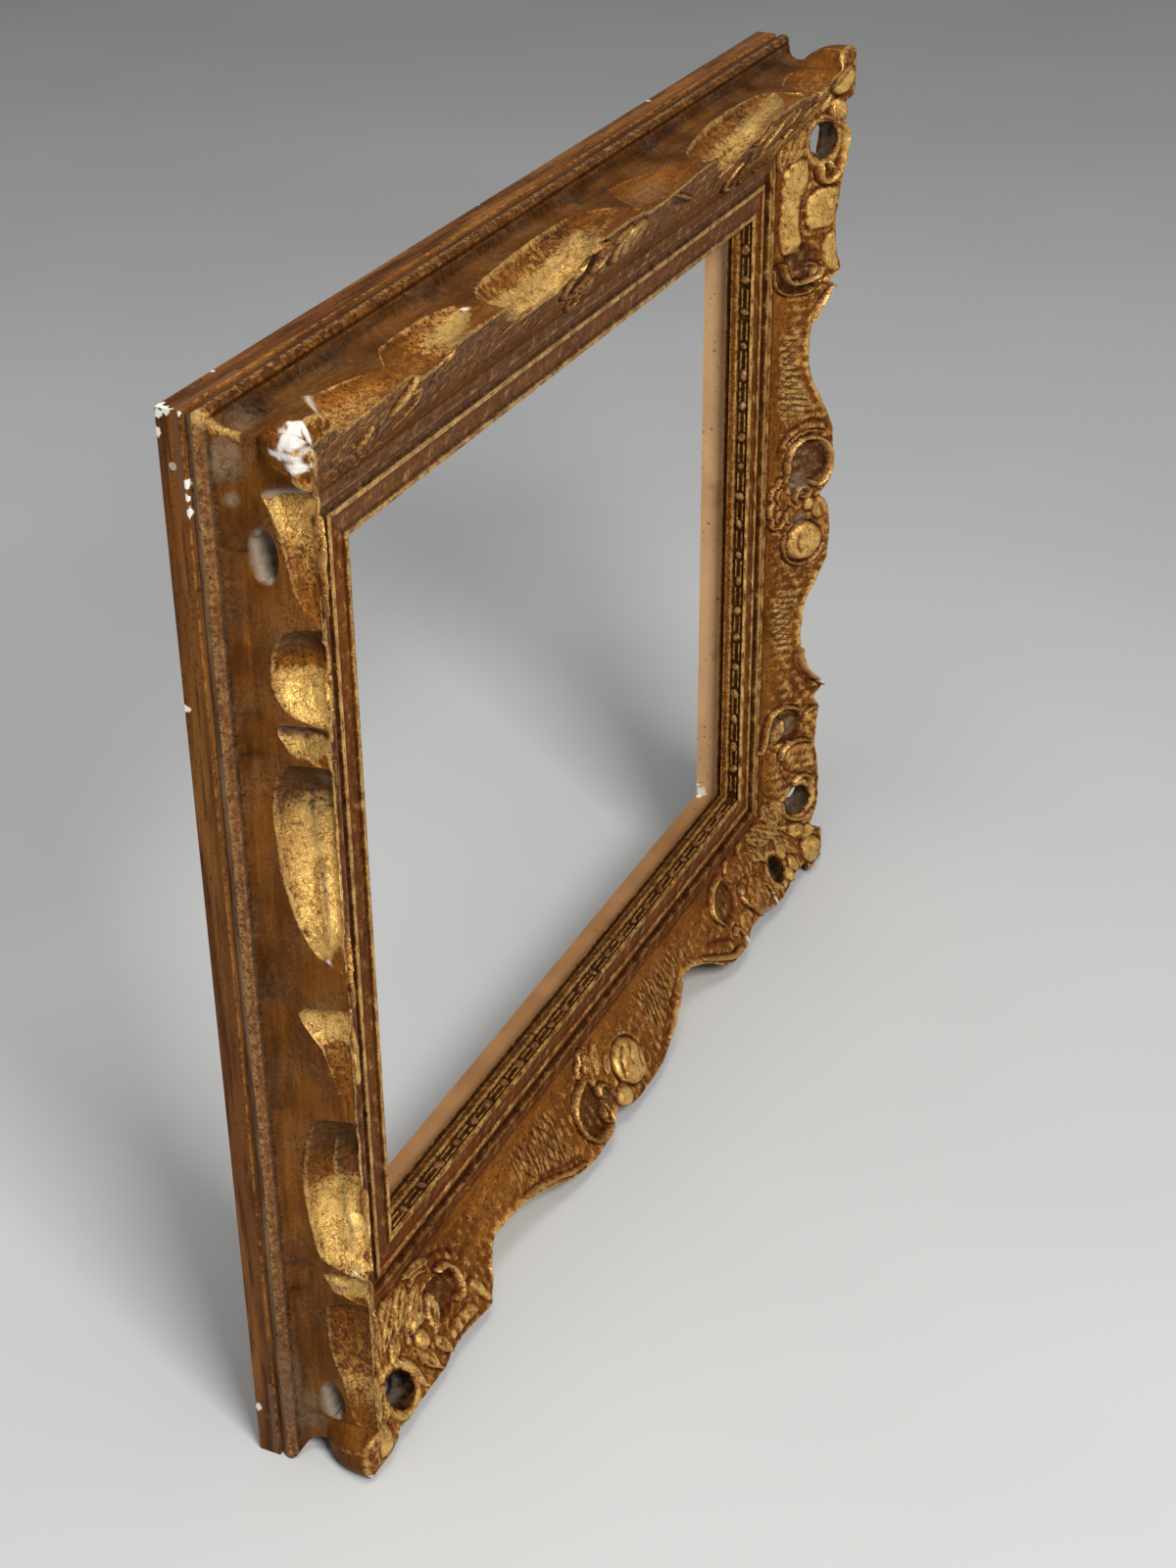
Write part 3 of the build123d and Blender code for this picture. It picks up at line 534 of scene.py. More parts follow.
def carve_upright(work):
    """Scrolls, leaves and bosses along an upright, in millimetres from its middle, downwards."""
    # Upper corner, from the nose down.
    work.dish([(-143, 57), (-138.5, 53), (-137, 46), (-138.5, 39.5), (-143, 36), (-150, 34.5), (-157, 36),
               (-161, 42), (-160, 50), (-155, 55), (-149, 57.5)], 1.5, 0.1)
    work.boss((-250, 65), (9.5, 7), 2.0)
    work.boss((-232, 63.5), (6.5, 5), 1.8)
    work.boss((-240, 54.5), (7, 4.5), 2.2)
    for root, tip in (((-203, 30), (-234, 40)), ((-216, 29.5), (-250, 47)), ((-207, 36), (-229, 48)),
                      ((-230, 44), (-243, 60)), ((-236, 40), (-254, 56))):
        work.blade(root, tip, 4.6, 1.7)
    work.pillow([(-208, 46), (-200, 48), (-192, 46.5), (-184, 43.5), (-172, 43), (-161, 45), (-155, 40),
                 (-156, 33), (-168, 31), (-185, 31), (-200, 32), (-207, 38)], 1.6, 1.0)
    work.pillow([(-189.5, 63.5), (-188, 66), (-181, 65), (-173, 64), (-167.5, 62), (-166, 56), (-167, 49),
                 (-172, 46.5), (-180, 46), (-187, 48.5), (-190, 55)], 2.4, 1.0)
    work.pillow([(-164.5, 63), (-158, 65), (-149, 66), (-142, 68), (-139.5, 66), (-142, 61), (-147, 58),
                 (-155, 57), (-161, 59)], 2.4, 1.0)
    work.rim([(-140.5, 52), (-144, 53.5), (-147, 51.5), (-146.5, 48.5)], 1.5, 1.4)
    work.groove([(-157, 47), (-150, 44), (-143, 43)], 0.9, 0.5)
    work.groove([(-140, 58.5), (-134.5, 53), (-133, 45), (-134.5, 37.5), (-140, 32.5), (-148, 31),
                 (-155, 31.5)], 1.8, 1.8)
    work.rim([(-143, 57.5), (-138.5, 53.5), (-136.8, 46), (-138, 39), (-143, 35), (-150, 33.5)], 2.2, 2.6)
    work.rim([(-137, 58), (-131, 52), (-129.8, 45), (-131.5, 36.5), (-138, 30.3), (-147, 28.8)], 1.3, 1.0)
    work.rim([(-226, 63), (-222, 67), (-212, 67.5), (-203, 66), (-196, 63), (-193, 58.5), (-195, 54.5),
              (-200, 53), (-204.5, 55), (-204.5, 58.5), (-201, 59.5)], 2.8, 3.2)
    work.rim([(-228, 60), (-230.5, 54), (-226, 47.5), (-218, 45)], 2.0, 1.8)
    work.rim([(-131, 65), (-127, 61), (-120, 56.5), (-112, 53)], 2.0, 1.8)
    # Middle: an open scroll, ruffles and a boss.
    work.dish([(-19, 41.5), (-27, 41), (-34.5, 43.5), (-38, 49), (-38, 55), (-35, 61.5), (-28.5, 65.3),
               (-20, 66), (-13.5, 64), (-10.5, 60), (-9, 54), (-11, 47), (-14, 43)], 2.2, 0.25)
    work.hollow((-12, 49), (7, 8), 0.8, 0.8)
    work.hollow((12, 50), (5, 6), 1.2, 0.8)
    work.groove([(-40, 67), (-47.5, 63), (-51, 55), (-48, 45), (-40, 37), (-28, 34)], 1.4, 0.9)
    work.rim([(-41, 63), (-43.5, 55), (-42.5, 47), (-38, 41)], 1.1, 0.8)
    work.rim([(-19, 40.5), (-27, 40), (-35, 42.5), (-39.3, 48), (-39.3, 55), (-36, 62), (-29, 66.3),
              (-20, 67.2), (-13, 65.5), (-9, 62), (-8, 58), (-11, 56.5)], 2.3, 2.8)
    work.rim([(-19, 40.5), (-16, 38.5), (-17.5, 35.8), (-13.5, 34.3), (-12, 31.2), (-7.5, 30), (-4, 31.8),
              (-0.5, 30), (4.5, 30.3), (7.5, 31.8), (11.5, 31.2), (14.3, 34), (12.8, 37.4), (9, 38.4)],
             1.7, 2.0)
    work.rim([(-11, 37), (-6.5, 34.8), (-2, 36.4), (1, 34.6)], 1.2, 1.2)
    work.rim([(2.5, 36.5), (6.5, 34.6), (10, 35.6)], 1.2, 1.2)
    work.rim([(3, 43.5), (7, 40.8), (11.5, 41.4), (13, 44)], 1.4, 1.5)
    work.rim([(1, 47.5), (-3, 45.8), (-7.5, 47.3), (-8.8, 51), (-6.5, 54.3), (-2.5, 54), (-2, 51)], 1.7,
             2.0)
    work.boss((3.5, 55.5), (4.5, 3.2), 1.2)
    work.boss((7.5, 62), (7, 4.2), 2.0)
    work.groove([(3, 60.5), (8, 61.5), (13, 63)], 0.8, 0.6)
    work.boss((27, 52.5), (12.2, 10.4), 3.2, 1.4)
    work.groove([(19, 48), (27, 46.5), (34, 49)], 1.0, 0.5)
    work.rim([(19, 41), (27, 39.4), (35.5, 41.8), (41, 47.5), (42.3, 54.5), (39, 61), (32, 65.3)], 1.3,
             1.3)
    # Lower corner, down to the nose.
    work.dish([(145, 53), (142, 49.5), (140.5, 44), (141.5, 39), (146, 35.5), (153, 34), (161, 34.5),
               (165, 39), (166, 46), (164, 53), (158, 56.5), (150, 56)], 2.0, 0.15)
    work.hollow((154, 50), (7, 4), 0.6, 0.9)
    work.blade((164, 38), (148, 44), 3.0, 1.2)
    work.groove([(98, 49), (110, 51), (120, 55), (128, 61)], 1.2, 0.8)
    work.rim([(100, 52.5), (112, 55), (121, 60), (127, 66), (131, 68.5)], 2.4, 2.2)
    work.pillow([(148.5, 66), (156, 66.5), (164, 65.5), (168.5, 64), (166, 60), (159, 58), (151, 59)],
                2.0, 0.4)
    work.rim([(146.5, 66.5), (146, 62), (148.5, 58.5), (153, 57)], 1.6, 2.0)
    work.pillow([(174, 42), (186, 43.5), (196, 47.5), (204, 45), (203, 38), (196, 31.5), (184, 30.5),
                 (172, 31.5), (166, 34.5)], 1.5, 0.2)
    work.pillow([(171, 62), (178, 65), (188, 66), (191, 60), (189, 52), (184, 46), (176, 44.5),
                 (170.5, 49), (169, 55)], 2.2, 0.25)
    work.rim([(145, 54), (141.5, 50), (139.3, 44), (140, 38.5), (144.5, 34), (152, 32), (160, 31.2),
              (167, 28.5)], 2.4, 2.8)
    work.rim([(169, 61), (166.5, 55), (166.8, 48.5), (170, 43), (176, 41.5)], 2.0, 2.6)
    for root, tip in (((205, 31), (226, 43)), ((214, 29.5), (240, 48)), ((224, 29.5), (249, 44)),
                      ((206, 36), (217, 45)), ((228, 42), (241, 60))):
        work.blade(root, tip, 4.6, 1.7)
    work.rim([(206, 63), (199, 63.5), (194.5, 60.5), (193.3, 55.5), (196, 51.5), (200, 51.5)], 2.0, 2.6)
    work.rim([(222, 65), (226, 60), (225, 53.5), (219, 47), (210, 44.8)], 2.0, 2.2)
    work.boss((233.5, 54), (5.5, 6), 2.4)
    work.boss((238, 63), (6, 4.5), 1.8)
    work.boss((251, 65), (9, 7), 1.8)


def carve_long_rail(work):
    """The same ornament drawn out along a long rail, in millimetres from its middle, right to left."""
    # Right corner, from the nose.
    work.dish([(-162, 50), (-159.5, 46), (-159, 41.5), (-163, 38), (-172, 34.8), (-183, 33.5), (-188, 38),
               (-189, 45), (-183, 52), (-172, 55), (-165, 54)], 1.8, 0.05)
    work.boss((-288, 66), (10, 7), 2.0)
    work.boss((-253, 65), (4.5, 4.5), 2.4)
    work.boss((-257, 52), (6, 4.6), 1.8)
    work.boss((-263, 62.5), (5, 5), 1.6)
    for root, tip in (((-229, 30.5), (-252, 43)), ((-240, 29.5), (-270, 48)),
                      ((-256, 30), (-284, 50)), ((-256, 44), (-276, 62)), ((-222, 36), (-238, 46))):
        work.blade(root, tip, 4.6, 1.7)
    work.pillow([(-222, 44), (-210, 45), (-200, 43), (-190, 40), (-188, 33.5), (-200, 31.5), (-214, 32),
                 (-224, 36)], 1.4, 0.2)
    work.pillow([(-222, 64), (-212, 66), (-203, 65), (-200, 57), (-203, 50), (-212, 47), (-220, 50),
                 (-224, 56)], 1.8, 0.25)
    work.pillow([(-196, 62), (-188, 64.5), (-179, 65), (-178, 59), (-184, 56), (-192, 56.5)], 1.8, 0.3)
    work.rim([(-236, 49), (-233, 45), (-231, 40), (-226, 36.5)], 2.4, 2.6)
    work.rim([(-226, 63.5), (-225, 58), (-221, 55)], 2.0, 2.0)
    work.rim([(-201, 65), (-198, 58.5), (-193.5, 53), (-195, 47.5), (-200, 46)], 2.4, 2.8)
    work.boss((-196.5, 47.5), (3, 2.6), 2.6)
    work.rim([(-162, 51), (-158, 46), (-157.5, 41), (-162, 36.5), (-171, 33), (-182, 31.3)], 2.6, 2.8)
    work.rim([(-190, 33), (-194, 30.5), (-199, 29)], 1.6, 1.6)
    work.rim([(-213, 32), (-218, 30), (-222, 29.5)], 1.6, 1.6)
    work.groove([(-166, 63), (-156, 58), (-146, 54), (-135, 51)], 2.0, 1.4)
    work.rim([(-176, 68.5), (-175.5, 62), (-172, 58.8), (-167, 60)], 2.0, 2.2)
    work.rim([(-166, 67.5), (-155, 67), (-145, 63), (-135, 58), (-126, 53.5)], 2.8, 2.2)
    # Middle: boss, ruffles and an open scroll.
    work.groove([(-98, 49), (-84, 52.5), (-70, 57), (-56, 61.5)], 1.3, 1.0)
    work.rim([(-95, 51.5), (-82, 56), (-70, 60.5), (-58, 64.5)], 1.8, 1.4)
    work.groove([(60, 64.5), (74, 61.5), (88, 57), (102, 53)], 1.4, 1.0)
    work.rim([(62, 68), (75, 65), (88, 60.5), (102, 56), (116, 53)], 1.8, 1.4)
    work.dish([(27, 41.5), (36, 43), (44, 45.5), (48.3, 49.3), (49.8, 54.5), (48, 60.5), (43.5, 65),
               (36, 67), (28, 66), (25.5, 62), (22, 56), (21, 49), (23, 44)], 2.4, 0.05)
    work.hollow((15, 57), (5, 6), 1.2, 0.2)
    work.boss((-15, 54), (15, 11), 3.4, 1.4)
    work.groove([(-18, 44.5), (-9, 48), (-4.5, 54), (-4, 58)], 1.1, 1.7)
    work.groove([(-23, 46.5), (-17, 50.5), (-13.5, 56)], 1.1, 1.5)
    work.groove([(-28, 51), (-23, 55.5), (-21, 60.5)], 1.0, 1.3)
    work.boss((3.5, 63.5), (8, 4.8), 2.4)
    work.blade((15, 45), (3, 31), 3.2, 2.0)
    work.blade((20, 43), (12.5, 29.5), 2.8, 1.8)
    work.blade((8, 49), (-3, 41.5), 2.6, 1.6)
    work.rim([(13.5, 33), (17, 30.3), (21.5, 30), (24, 33), (28.5, 34.5), (30.5, 38), (28, 40.3)], 1.6,
             2.0)
    work.rim([(18, 36.5), (22, 37.5), (24, 41)], 1.3, 1.4)
    work.rim([(10.5, 60), (11.5, 54.5), (15.5, 50.3), (20.5, 50), (21.5, 53.5), (18.5, 55.5)], 1.6, 2.0)
    work.rim([(22.5, 57.5), (21.5, 62.5), (24.5, 66), (28, 64), (27, 60.5)], 1.5, 1.8)
    work.rim([(27, 67), (36, 68.3), (44, 66), (49, 61), (51, 54.5), (49.3, 48.5), (44.5, 44.5), (36, 42),
              (28, 40.3)], 2.3, 2.8)
    # Left corner, to the nose.
    work.dish([(199, 54.5), (194.5, 53.8), (191.3, 50), (191, 46), (194, 42.6), (200, 41.2), (212, 40.5),
               (221, 44), (222, 51), (217, 57), (207, 58.5)], 1.8, 0.1)
    work.pillow([(177, 69.5), (181, 69), (184, 63), (185.5, 57), (182, 55.5), (178.5, 60), (176.5, 65)],
                2.4, 0.9)
    work.groove([(181, 44), (185, 39), (191, 35.8), (199, 34.3), (203, 36)], 1.6, 1.2)
    work.pillow([(189, 68), (200, 67.5), (211, 67), (216, 66), (212, 61.5), (202, 61), (192, 62.5)], 2.0,
                0.5)
    work.pillow([(222, 49), (230, 50), (238, 47), (236, 41), (227, 41.5)], 1.6, 0.8)
    work.rim([(199, 55.5), (193.5, 55), (189.8, 50.5), (189.5, 45.5), (193, 41.3), (200, 39.7)], 3.0, 3.0)
    work.blade((201, 33), (224, 29.5), 2.6)
    for root, tip, wide in (((224, 30.5), (247, 44), 4.2), ((216, 35.5), (238, 50), 4.4),
                            ((236, 29.5), (266, 44), 4.6), ((250, 30), (283, 51), 4.6),
                            ((246, 43), (259, 50), 3.0), ((212, 44), (224, 58), 4.0),
                            ((240, 54), (232, 70), 4.4), ((226, 58), (219, 70), 3.6),
                            ((254, 50), (246, 70), 4.2), ((270, 52), (289, 66), 4.2),
                            ((276, 60), (268, 71), 3.6)):
        work.blade(root, tip, wide, 2.2)
    work.boss((233, 54), (5.2, 4.4), 2.0)
    work.boss((291, 66), (10, 7), 1.8)
    work.rim([(206, 35.5), (214, 33), (222, 34)], 1.4, 1.5)
    work.rim([(228, 42), (236, 44.5), (243, 50)], 1.3, 1.4)


# Pierced openings near the corners, none in the top rail: at which end, place of the mouth past the sight
# corner and across the rail, its radii, then the way out: place past the sight corner, height up the wall.
pierced = {
    "right": [(-1, (32, 55.5), (10.5, 8), (28, 20)), (1, (26, 55), (10.5, 8), (24, 20))],
    "left": [(-1, (39, 57), (10, 8), (45, 20.5)), (1, (26, 55.5), (10.5, 8), (22, 20))],
    "top": [],
    "bottom": [(-1, (18, 57), (9, 7.5), (16, 20)), (1, (38, 60), (10.5, 8), (33, 20))],
}
exit_radii = (12.5, 7.2)
# The gouge cuts in the outer wall: where each starts and ends along the rail, how deep it goes and at
# which share of its length. Where a cut runs out below the front edge, the head gives its upper height.
gouge_cuts = {
    "left": [(-241, -162, 2.8, 0.88), (-161, -147, 3.2, 0.7), (-146.5, -58, 4.8, 0.66),
             (-50, 2, 2.4, 0.85), (23, 119, 5.2, 0.66), (119.5, 137, 3.4, 0.7), (137, 181, 4.2, 0.68),
             (182, 239, 3.0, 0.92)],
    "top": [(-276, -217, 3.0, 0.2), (-217, -137, 4.2, 0.45), (-133, 9, 5.4, 0.5), (12, 90, 2.8, 0.3),
            (92, 226, 5.4, 0.6), (228, 276, 2.2, 0.5)],
}
gouge_head = {
    "left": [(-300, 50), (-162, 50), (-161, 34), (-157, 39.5), (-150, 42.8), (-148, 44), (-147, 50),
             (-146, 38), (-138, 41.5), (-126, 48), (-120, 50), (22, 50), (23, 37), (34, 41.5), (46, 48),
             (52, 50), (118.5, 50), (119.5, 37), (122, 38), (129, 42.2), (134, 43.5), (137, 45),
             (138, 50), (300, 50)],
    "top": [(-310, 50), (-184, 50), (-174, 44), (-157, 38), (-140, 30.6), (-136, 29), (-134, 50),
            (-60, 50), (-51, 44), (-14, 35.3), (8, 31.5), (10, 50), (165, 50), (170, 44.5), (198, 39.5),
            (212, 34.7), (222, 27), (226, 26), (228, 50), (310, 50)],
}
# How brightly the leaf is rubbed along the cuts in the outer wall.
rubbed_wall = {
    "left": [(-262, 0.7), (-247, 0.6), (-241, 0.2), (-228, 0.3), (-214, 0.7), (-204, 0.4), (-185, 0.28),
             (-170, 0.15), (-163, 0.4), (-160, 0.95), (-155, 1), (-115, 0.98), (-106, 0.8), (-99, 0.25),
             (-60, 0.05), (-50, 0.15), (-40, 0.2), (-22, 0.4), (-16, 0.9), (-4, 0.95), (1, 0.2),
             (24, 0.95), (80, 0.98), (92, 0.8), (99, 0.3), (105, 0.05), (118, 0.05), (121, 0.95),
             (130, 0.9), (133, 0.2), (137, 1), (156, 0.98), (160, 0.25), (178, 0.05), (183, 0.15),
             (200, 0.35), (214, 0.55), (221, 0.95), (233, 0.95), (238, 0.3)],
    "top": [(-277, 0.5), (-262, 0.6), (-240, 0.45), (-219, 0.25), (-185, 0.3), (-172, 0.85), (-158, 0.98),
            (-143, 0.95), (-136, 0.3), (-128, 0.8), (-60, 0.95), (-30, 0.85), (-14, 0.4), (-4, 0.1),
            (8, 0.5), (20, 0.45), (36, 0.2), (90, 0.15), (100, 0.4), (126, 0.5), (150, 0.75), (212, 0.9),
            (222, 0.8), (228, 0.3), (262, 0.35)],
    "right": [(-260, 0.25), (-150, 0.3), (-142, 0.85), (-60, 0.85), (-45, 0.3), (40, 0.3), (60, 0.85),
              (132, 0.85), (145, 0.3), (260, 0.25)],
    "bottom": [(-300, 0.25), (-185, 0.3), (-178, 0.85), (-70, 0.85), (-50, 0.3), (60, 0.3), (85, 0.85),
               (175, 0.85), (185, 0.3), (300, 0.25)],
}
# Where the sweeps are hatched with veined strokes, along each rail.
hatched = {"right": ((-112, -52), (57, 104)), "bottom": ((-114, -44), (62, 118)),
           "left": ((-106, -58), (40, 98)), "top": ()}
# The left rail's middle ornament sits a little off that of the right rail.
ornament_slide = {"left": -12, "right": 0, "top": 0, "bottom": 0}
rubbed_arris = 0.5
# How each rail has worn: leaf on the ground of the carving and its unevenness; leaf on the crests and
# the flat band of the sight mouldings, red on that band, breaks along them; leaf between the veined
# strokes; darkening of the outer wall; dust and darkening of its bead. The right rail's higher leaf is
# partly painted light, the bottom rail's lower leaf partly painted shade; the top rail's wall and bead are
# darker.
usual_wear = {"ground": 0.24, "uneven": 0.24, "crest": 0.65, "band": 0.25, "red": 0.4, "broken": 0.24,
              "stroke": 0.32, "wall_darkening": 0, "bead_dust": 0.28, "bead_darkening": 0.15}
wear_and_light = {
    "left": {**usual_wear, "ground": 0.2, "red": 0.6},
    "right": {**usual_wear, "band": 0.65, "red": 0.1, "broken": 0.36, "stroke": 0.6},
    "top": {**usual_wear, "uneven": 0.1, "wall_darkening": 0.48, "bead_dust": 0, "bead_darkening": 0.68},
    "bottom": {**usual_wear, "ground": 0.17, "crest": 0.4},
}


def holes(side):
    """The pierced holes of one rail: centre and radii of the mouth, then centre of the way out."""
    half = rails[side]["half"]
    for end, mouth, radii, leave in pierced[side]:
        yield (end * (half + mouth[0]), mouth[1]), radii, (end * (half + leave[0]), leave[1])


def plain_height(p):
    """Height of the front before it is carved: sight mouldings, then a slope up to a rounded ridge."""
    slope = panel_foot + panel_slope * (p - panel_start)
    cap = ridge_height - 0.02 * np.clip(p - ridge_start, 0, None) ** 2
    return np.where(p < panel_start, np.interp(p, *np.array(sight_profile).T), np.minimum(slope, cap))


def plainer_end(work):
    """The top rail is carved shallower and browner, plainest at its left end, with two gilded pillows."""
    plainer = rising(work.s, 180, 10)
    work.leaf *= 0.35 * (1 - 0.8 * plainer)
    work.rise *= 0.75 * (1 - 0.65 * plainer)
    work.bole *= 1 - 0.6 * plainer
    work.pillow([(209.5, 66), (212.5, 68.5), (216.5, 61), (218.5, 52.5), (215.5, 51.5), (211.5, 58)],
                6.0, 1.0)
    work.pillow([(231.5, 53), (233.5, 54.5), (236.5, 49), (237.2, 43.5), (235, 43.5), (232.5, 48)],
                5.0, 1.0)


def veined_sweeps(side, work, s, p, edge):
    """Veined strokes across the sweeps, and the lip left standing along the edge."""
    for low, high in hatched[side]:
        curl = s + 2.2 * np.sin((p - 34) / 5) + 1.5 * wander(s, p, 30, 3)
        strokes = bell(np.sin(math.pi * curl / 4.6), 0, 0.4)
        crossing = bell(np.sin(math.pi * (s - 0.8 * p) / 8.2), 0, 0.3) * (wander(s, p, 11, 5) > 0.1)
        field = rising(s, low, 8) * rising(s, high, -8) * rising(p, 33, 3) * rising(p, edge - 6, -3)
        cut = field * np.maximum(strokes, 0.8 * crossing)
        work.rise -= 0.55 * cut
        work.leaf += field * (wear_and_light[side]["stroke"] - 0.45 * cut)
        work.bole = np.maximum(work.bole, 0.3 * cut)
        work.hatch = np.maximum(work.hatch, field)
    swept = rising(edge, whole_edge - 2, -8)
    lip = swept * bell(p, edge - 1.8, 1.5)
    work.rise += 0.9 * lip
    work.leaf = np.maximum(work.leaf, 0.75 * lip)
    work.bole = np.maximum(work.bole, 0.6 * swept * bell(p, edge - 4.6, 0.9))


def carved_front(side, columns, edge):
    """The front from the sight edge to the swept edge: its carving, and its rows' places and heights."""
    rows = [np.full_like(columns, p) for p in sight_rows]
    rows += [panel_start + (edge - panel_start) * v for v in np.linspace(0, 1, panel_rows)]
    p = np.array(rows)
    s = np.broadcast_to(columns, p.shape)
    slide = ornament_slide[side] * rising(np.abs(s), rails[side]["half"] + 45, -35)
    work = Relief(s, p, 1 if side in ("right", "bottom") else -1, slide)
    if side in ("left", "right"):
        carve_upright(work)
    else:
        carve_long_rail(work)
    if side == "top":
        plainer_end(work)
    veined_sweeps(side, work, s, p, edge)
    work.rise *= 1.15 * rising(p, 25, 3.5)
    work.rise += rising(p, 26, 6) * (0.3 * wander(s, p, 15, 8) + 0.22 * wander(s, p, 5.5, 9))
    for mouth, radii, _ in holes(side):
        q = oval(s, p, mouth, np.array(radii) + 2.4)
        work.rise = np.where(q < 1.12, np.minimum(work.rise, 0.8 + 12 * np.clip(q - 1, 0, 1)), work.rise)
        work.rise += 0.9 * bell(q, 1, 0.12)
        work.leaf = np.maximum(work.leaf, 0.8 * bell(q, 1, 0.14))
    d = np.minimum(plain_height(p) + work.rise, carving_height)
    d[-1] -= rubbed_arris
    return work, p, d


def sight_wall(columns):
    """The ledge and the wall inside the sight edge, where bars run between the pearls."""
    p = [np.full_like(columns, ledge_width), np.full_like(columns, ledge_width / 2)]
    d = [np.full_like(columns, ledge_step)] * 2
    bars = rising(np.abs((columns + pearl_pitch / 2) % pearl_pitch - pearl_pitch / 2), 2.6, 1.6)
    for height, back in inner_wall:
        ridge = max(bell(height, middle, bar_wide) for middle in bar_heights)
        uneven = 1 + 0.3 * wander(columns, np.full_like(columns, height), 7, 31)
        p.append(back - 0.75 * ridge * bars * uneven)
        d.append(np.full_like(columns, height))
    return p, d


def wall_cuts(side, columns, edge, top):
    """The gouge cuts along an outer wall: lower and upper height, depth, and where painted shade darkens
    their upper ends. The long ones fold in two lengthwise, at a crease given as a share of their height."""
    cut = np.clip(whole_edge - edge, 0, None)
    shaded_end, fold = np.zeros((2, len(columns)))
    crease = np.full_like(columns, 0.55)
    if side in gouge_cuts:
        low = flowing(columns, gouge_foot[side])
        head = np.minimum(flowing(columns, gouge_head[side]), top)
        deep = np.zeros_like(columns)
        for start, end, depth, peak in gouge_cuts[side]:
            share = rising(columns, start, end - start)
            slope = np.minimum(share / peak, (1 - share) / (1 - peak))
            deep = np.maximum(deep, depth * np.sin(math.pi / 2 * slope) ** 0.7)
            shaded_end = np.maximum(shaded_end, rising(share, 0.6, 0.2) * (share < 1) * (depth > 3))
            if depth > 4.5:
                folded = np.clip((share - 0.06) / 0.12, 0, 0.5) * rising(share, 0.88, -0.15)
                fold = np.maximum(fold, folded)
                crease = np.where((share > 0) & (share < 1), 0.62 - 0.16 * share, crease)
    else:
        low = top - 24 * (1 - np.exp(-cut / 2.6)) - edge_thickness
        head = top
        deep = 1.5 * rising(cut, 0, 3) + 2.6 * rising(cut, 6, 8)
    nose_fall = np.where(columns * upper_left_end.get(side, 0) > 0, 19, 25)
    nose_foot = top - nose_fall * rising(edge, nose_start, nose_run) - edge_thickness
    low = np.minimum(np.minimum(low, top - edge_thickness), nose_foot)
    return np.maximum(low, lowest_cut), head, deep, shaded_end, fold, crease


def outer_rows(side, columns, edge, top):
    """Rows down the outer wall with its cuts, then bead and glued face, and how the cuts are marked: their
    leaf, and painted shade.
    """
    low, head, deep, shaded_end, fold, crease = wall_cuts(side, columns, edge, top)
    foot = flowing(low, outer_wall)
    nose = rising(edge, nose_start, nose_run)
    beyond = np.abs(columns) - rails[side]["half"]
    p, d, cut_leaf_and_shade, painted_shade = [], [], [], []
    for t in np.linspace(0, 1, edge_rows + 1)[1:]:
        height = top + (low - top) * t
        share = np.clip((height - low) / np.maximum(head - low, 0.5), 0, 1)
        upper = 0.5 + 0.5 * (share - crease) / (1 - crease)
        bent = np.where(share < crease, 0.5 * share / crease, upper)
        bowl = (1 - fold) * np.sin(math.pi * share) ** 0.7
        bowl = bowl + fold * np.abs(np.sin(2 * math.pi * bent)) ** 0.7
        lean = t + (t ** 2.8 - t) * nose
        swell = rising(beyond, 50 + 6 * t, 12) if t > 0.1 else 1.0
        lean = 1 - (1 - lean) * np.where(nose > 0, swell, 1)
        uneven = 0.15 * wander(columns, 40 * t, 12, 12) * (edge < nose_start)
        p.append(edge + (foot - edge) * lean - deep * bowl + uneven)
        d.append(height)
        # Painted shade: the leaf in each cut is dimmed towards its foot.
        shade = np.clip(0.6 + 3 * share, 0, 1)
        if side == "top":
            shade = np.clip((share - 0.12) / 0.3, 0.42, 1)
        shade = shade * np.clip(deep, 0, 1)
        cut_leaf_and_shade.append(np.where(share < 1, shade, rising(edge, whole_edge - 0.4, -1.5)))
        # Painted shade: a dark outline along the foot of each cut, the upper ends of the deep cuts darkened
        # on the left rail, and a dark line beside the crease of each folded cut.
        outline = (0.35 + 0.4 * shaded_end) * bell(share, 0.04, 0.07) * np.clip(deep - 1, 0, 1)
        painted_end_shade = 0.62 * shaded_end * np.clip(deep, 0, 1) * (side == "left")
        painted_shade.append(np.maximum(painted_end_shade, outline) + 1.7 * fold * bell(share, crease + 0.05, 0.05))
    for t in np.linspace(0, 1, wall_rows + 1)[1:]:
        height = low + (outer_wall[0][0] - low) * t
        uneven = 0.2 * wander(columns, height, 22, 14) * math.sin(math.pi * t)
        p.append(flowing(height, outer_wall) + uneven)
        d.append(height)
    for place, height in outer_bead + [(ledge_width, 0)]:
        p.append(np.full_like(columns, place))
        d.append(np.full_like(columns, height))
    return p, d, (np.array(cut_leaf_and_shade), np.array(painted_shade))


def rail_profile(side):
    """One rail row by row round its section: places along and across, heights, carving and wall cuts."""
    half = rails[side]["half"]
    reach = half + rail_width
    columns = np.linspace(-reach, reach, 2 * int(reach / column_step) + 1)
    ends = [(half + s, p) for s, p in nose_edge]
    edge = flowing(columns, [(-s, p) for s, p in reversed(ends)] + swept_edge[side] + ends)
    inner_p, inner_d = sight_wall(columns)
    work, front_p, front_d = carved_front(side, columns, edge)
    wall_p, wall_d, cuts = outer_rows(side, columns, edge, front_d[-1])
    p = np.concatenate([inner_p, front_p, wall_p])
    d = np.concatenate([inner_d, front_d, wall_d])
    return columns, p, d, work, cuts


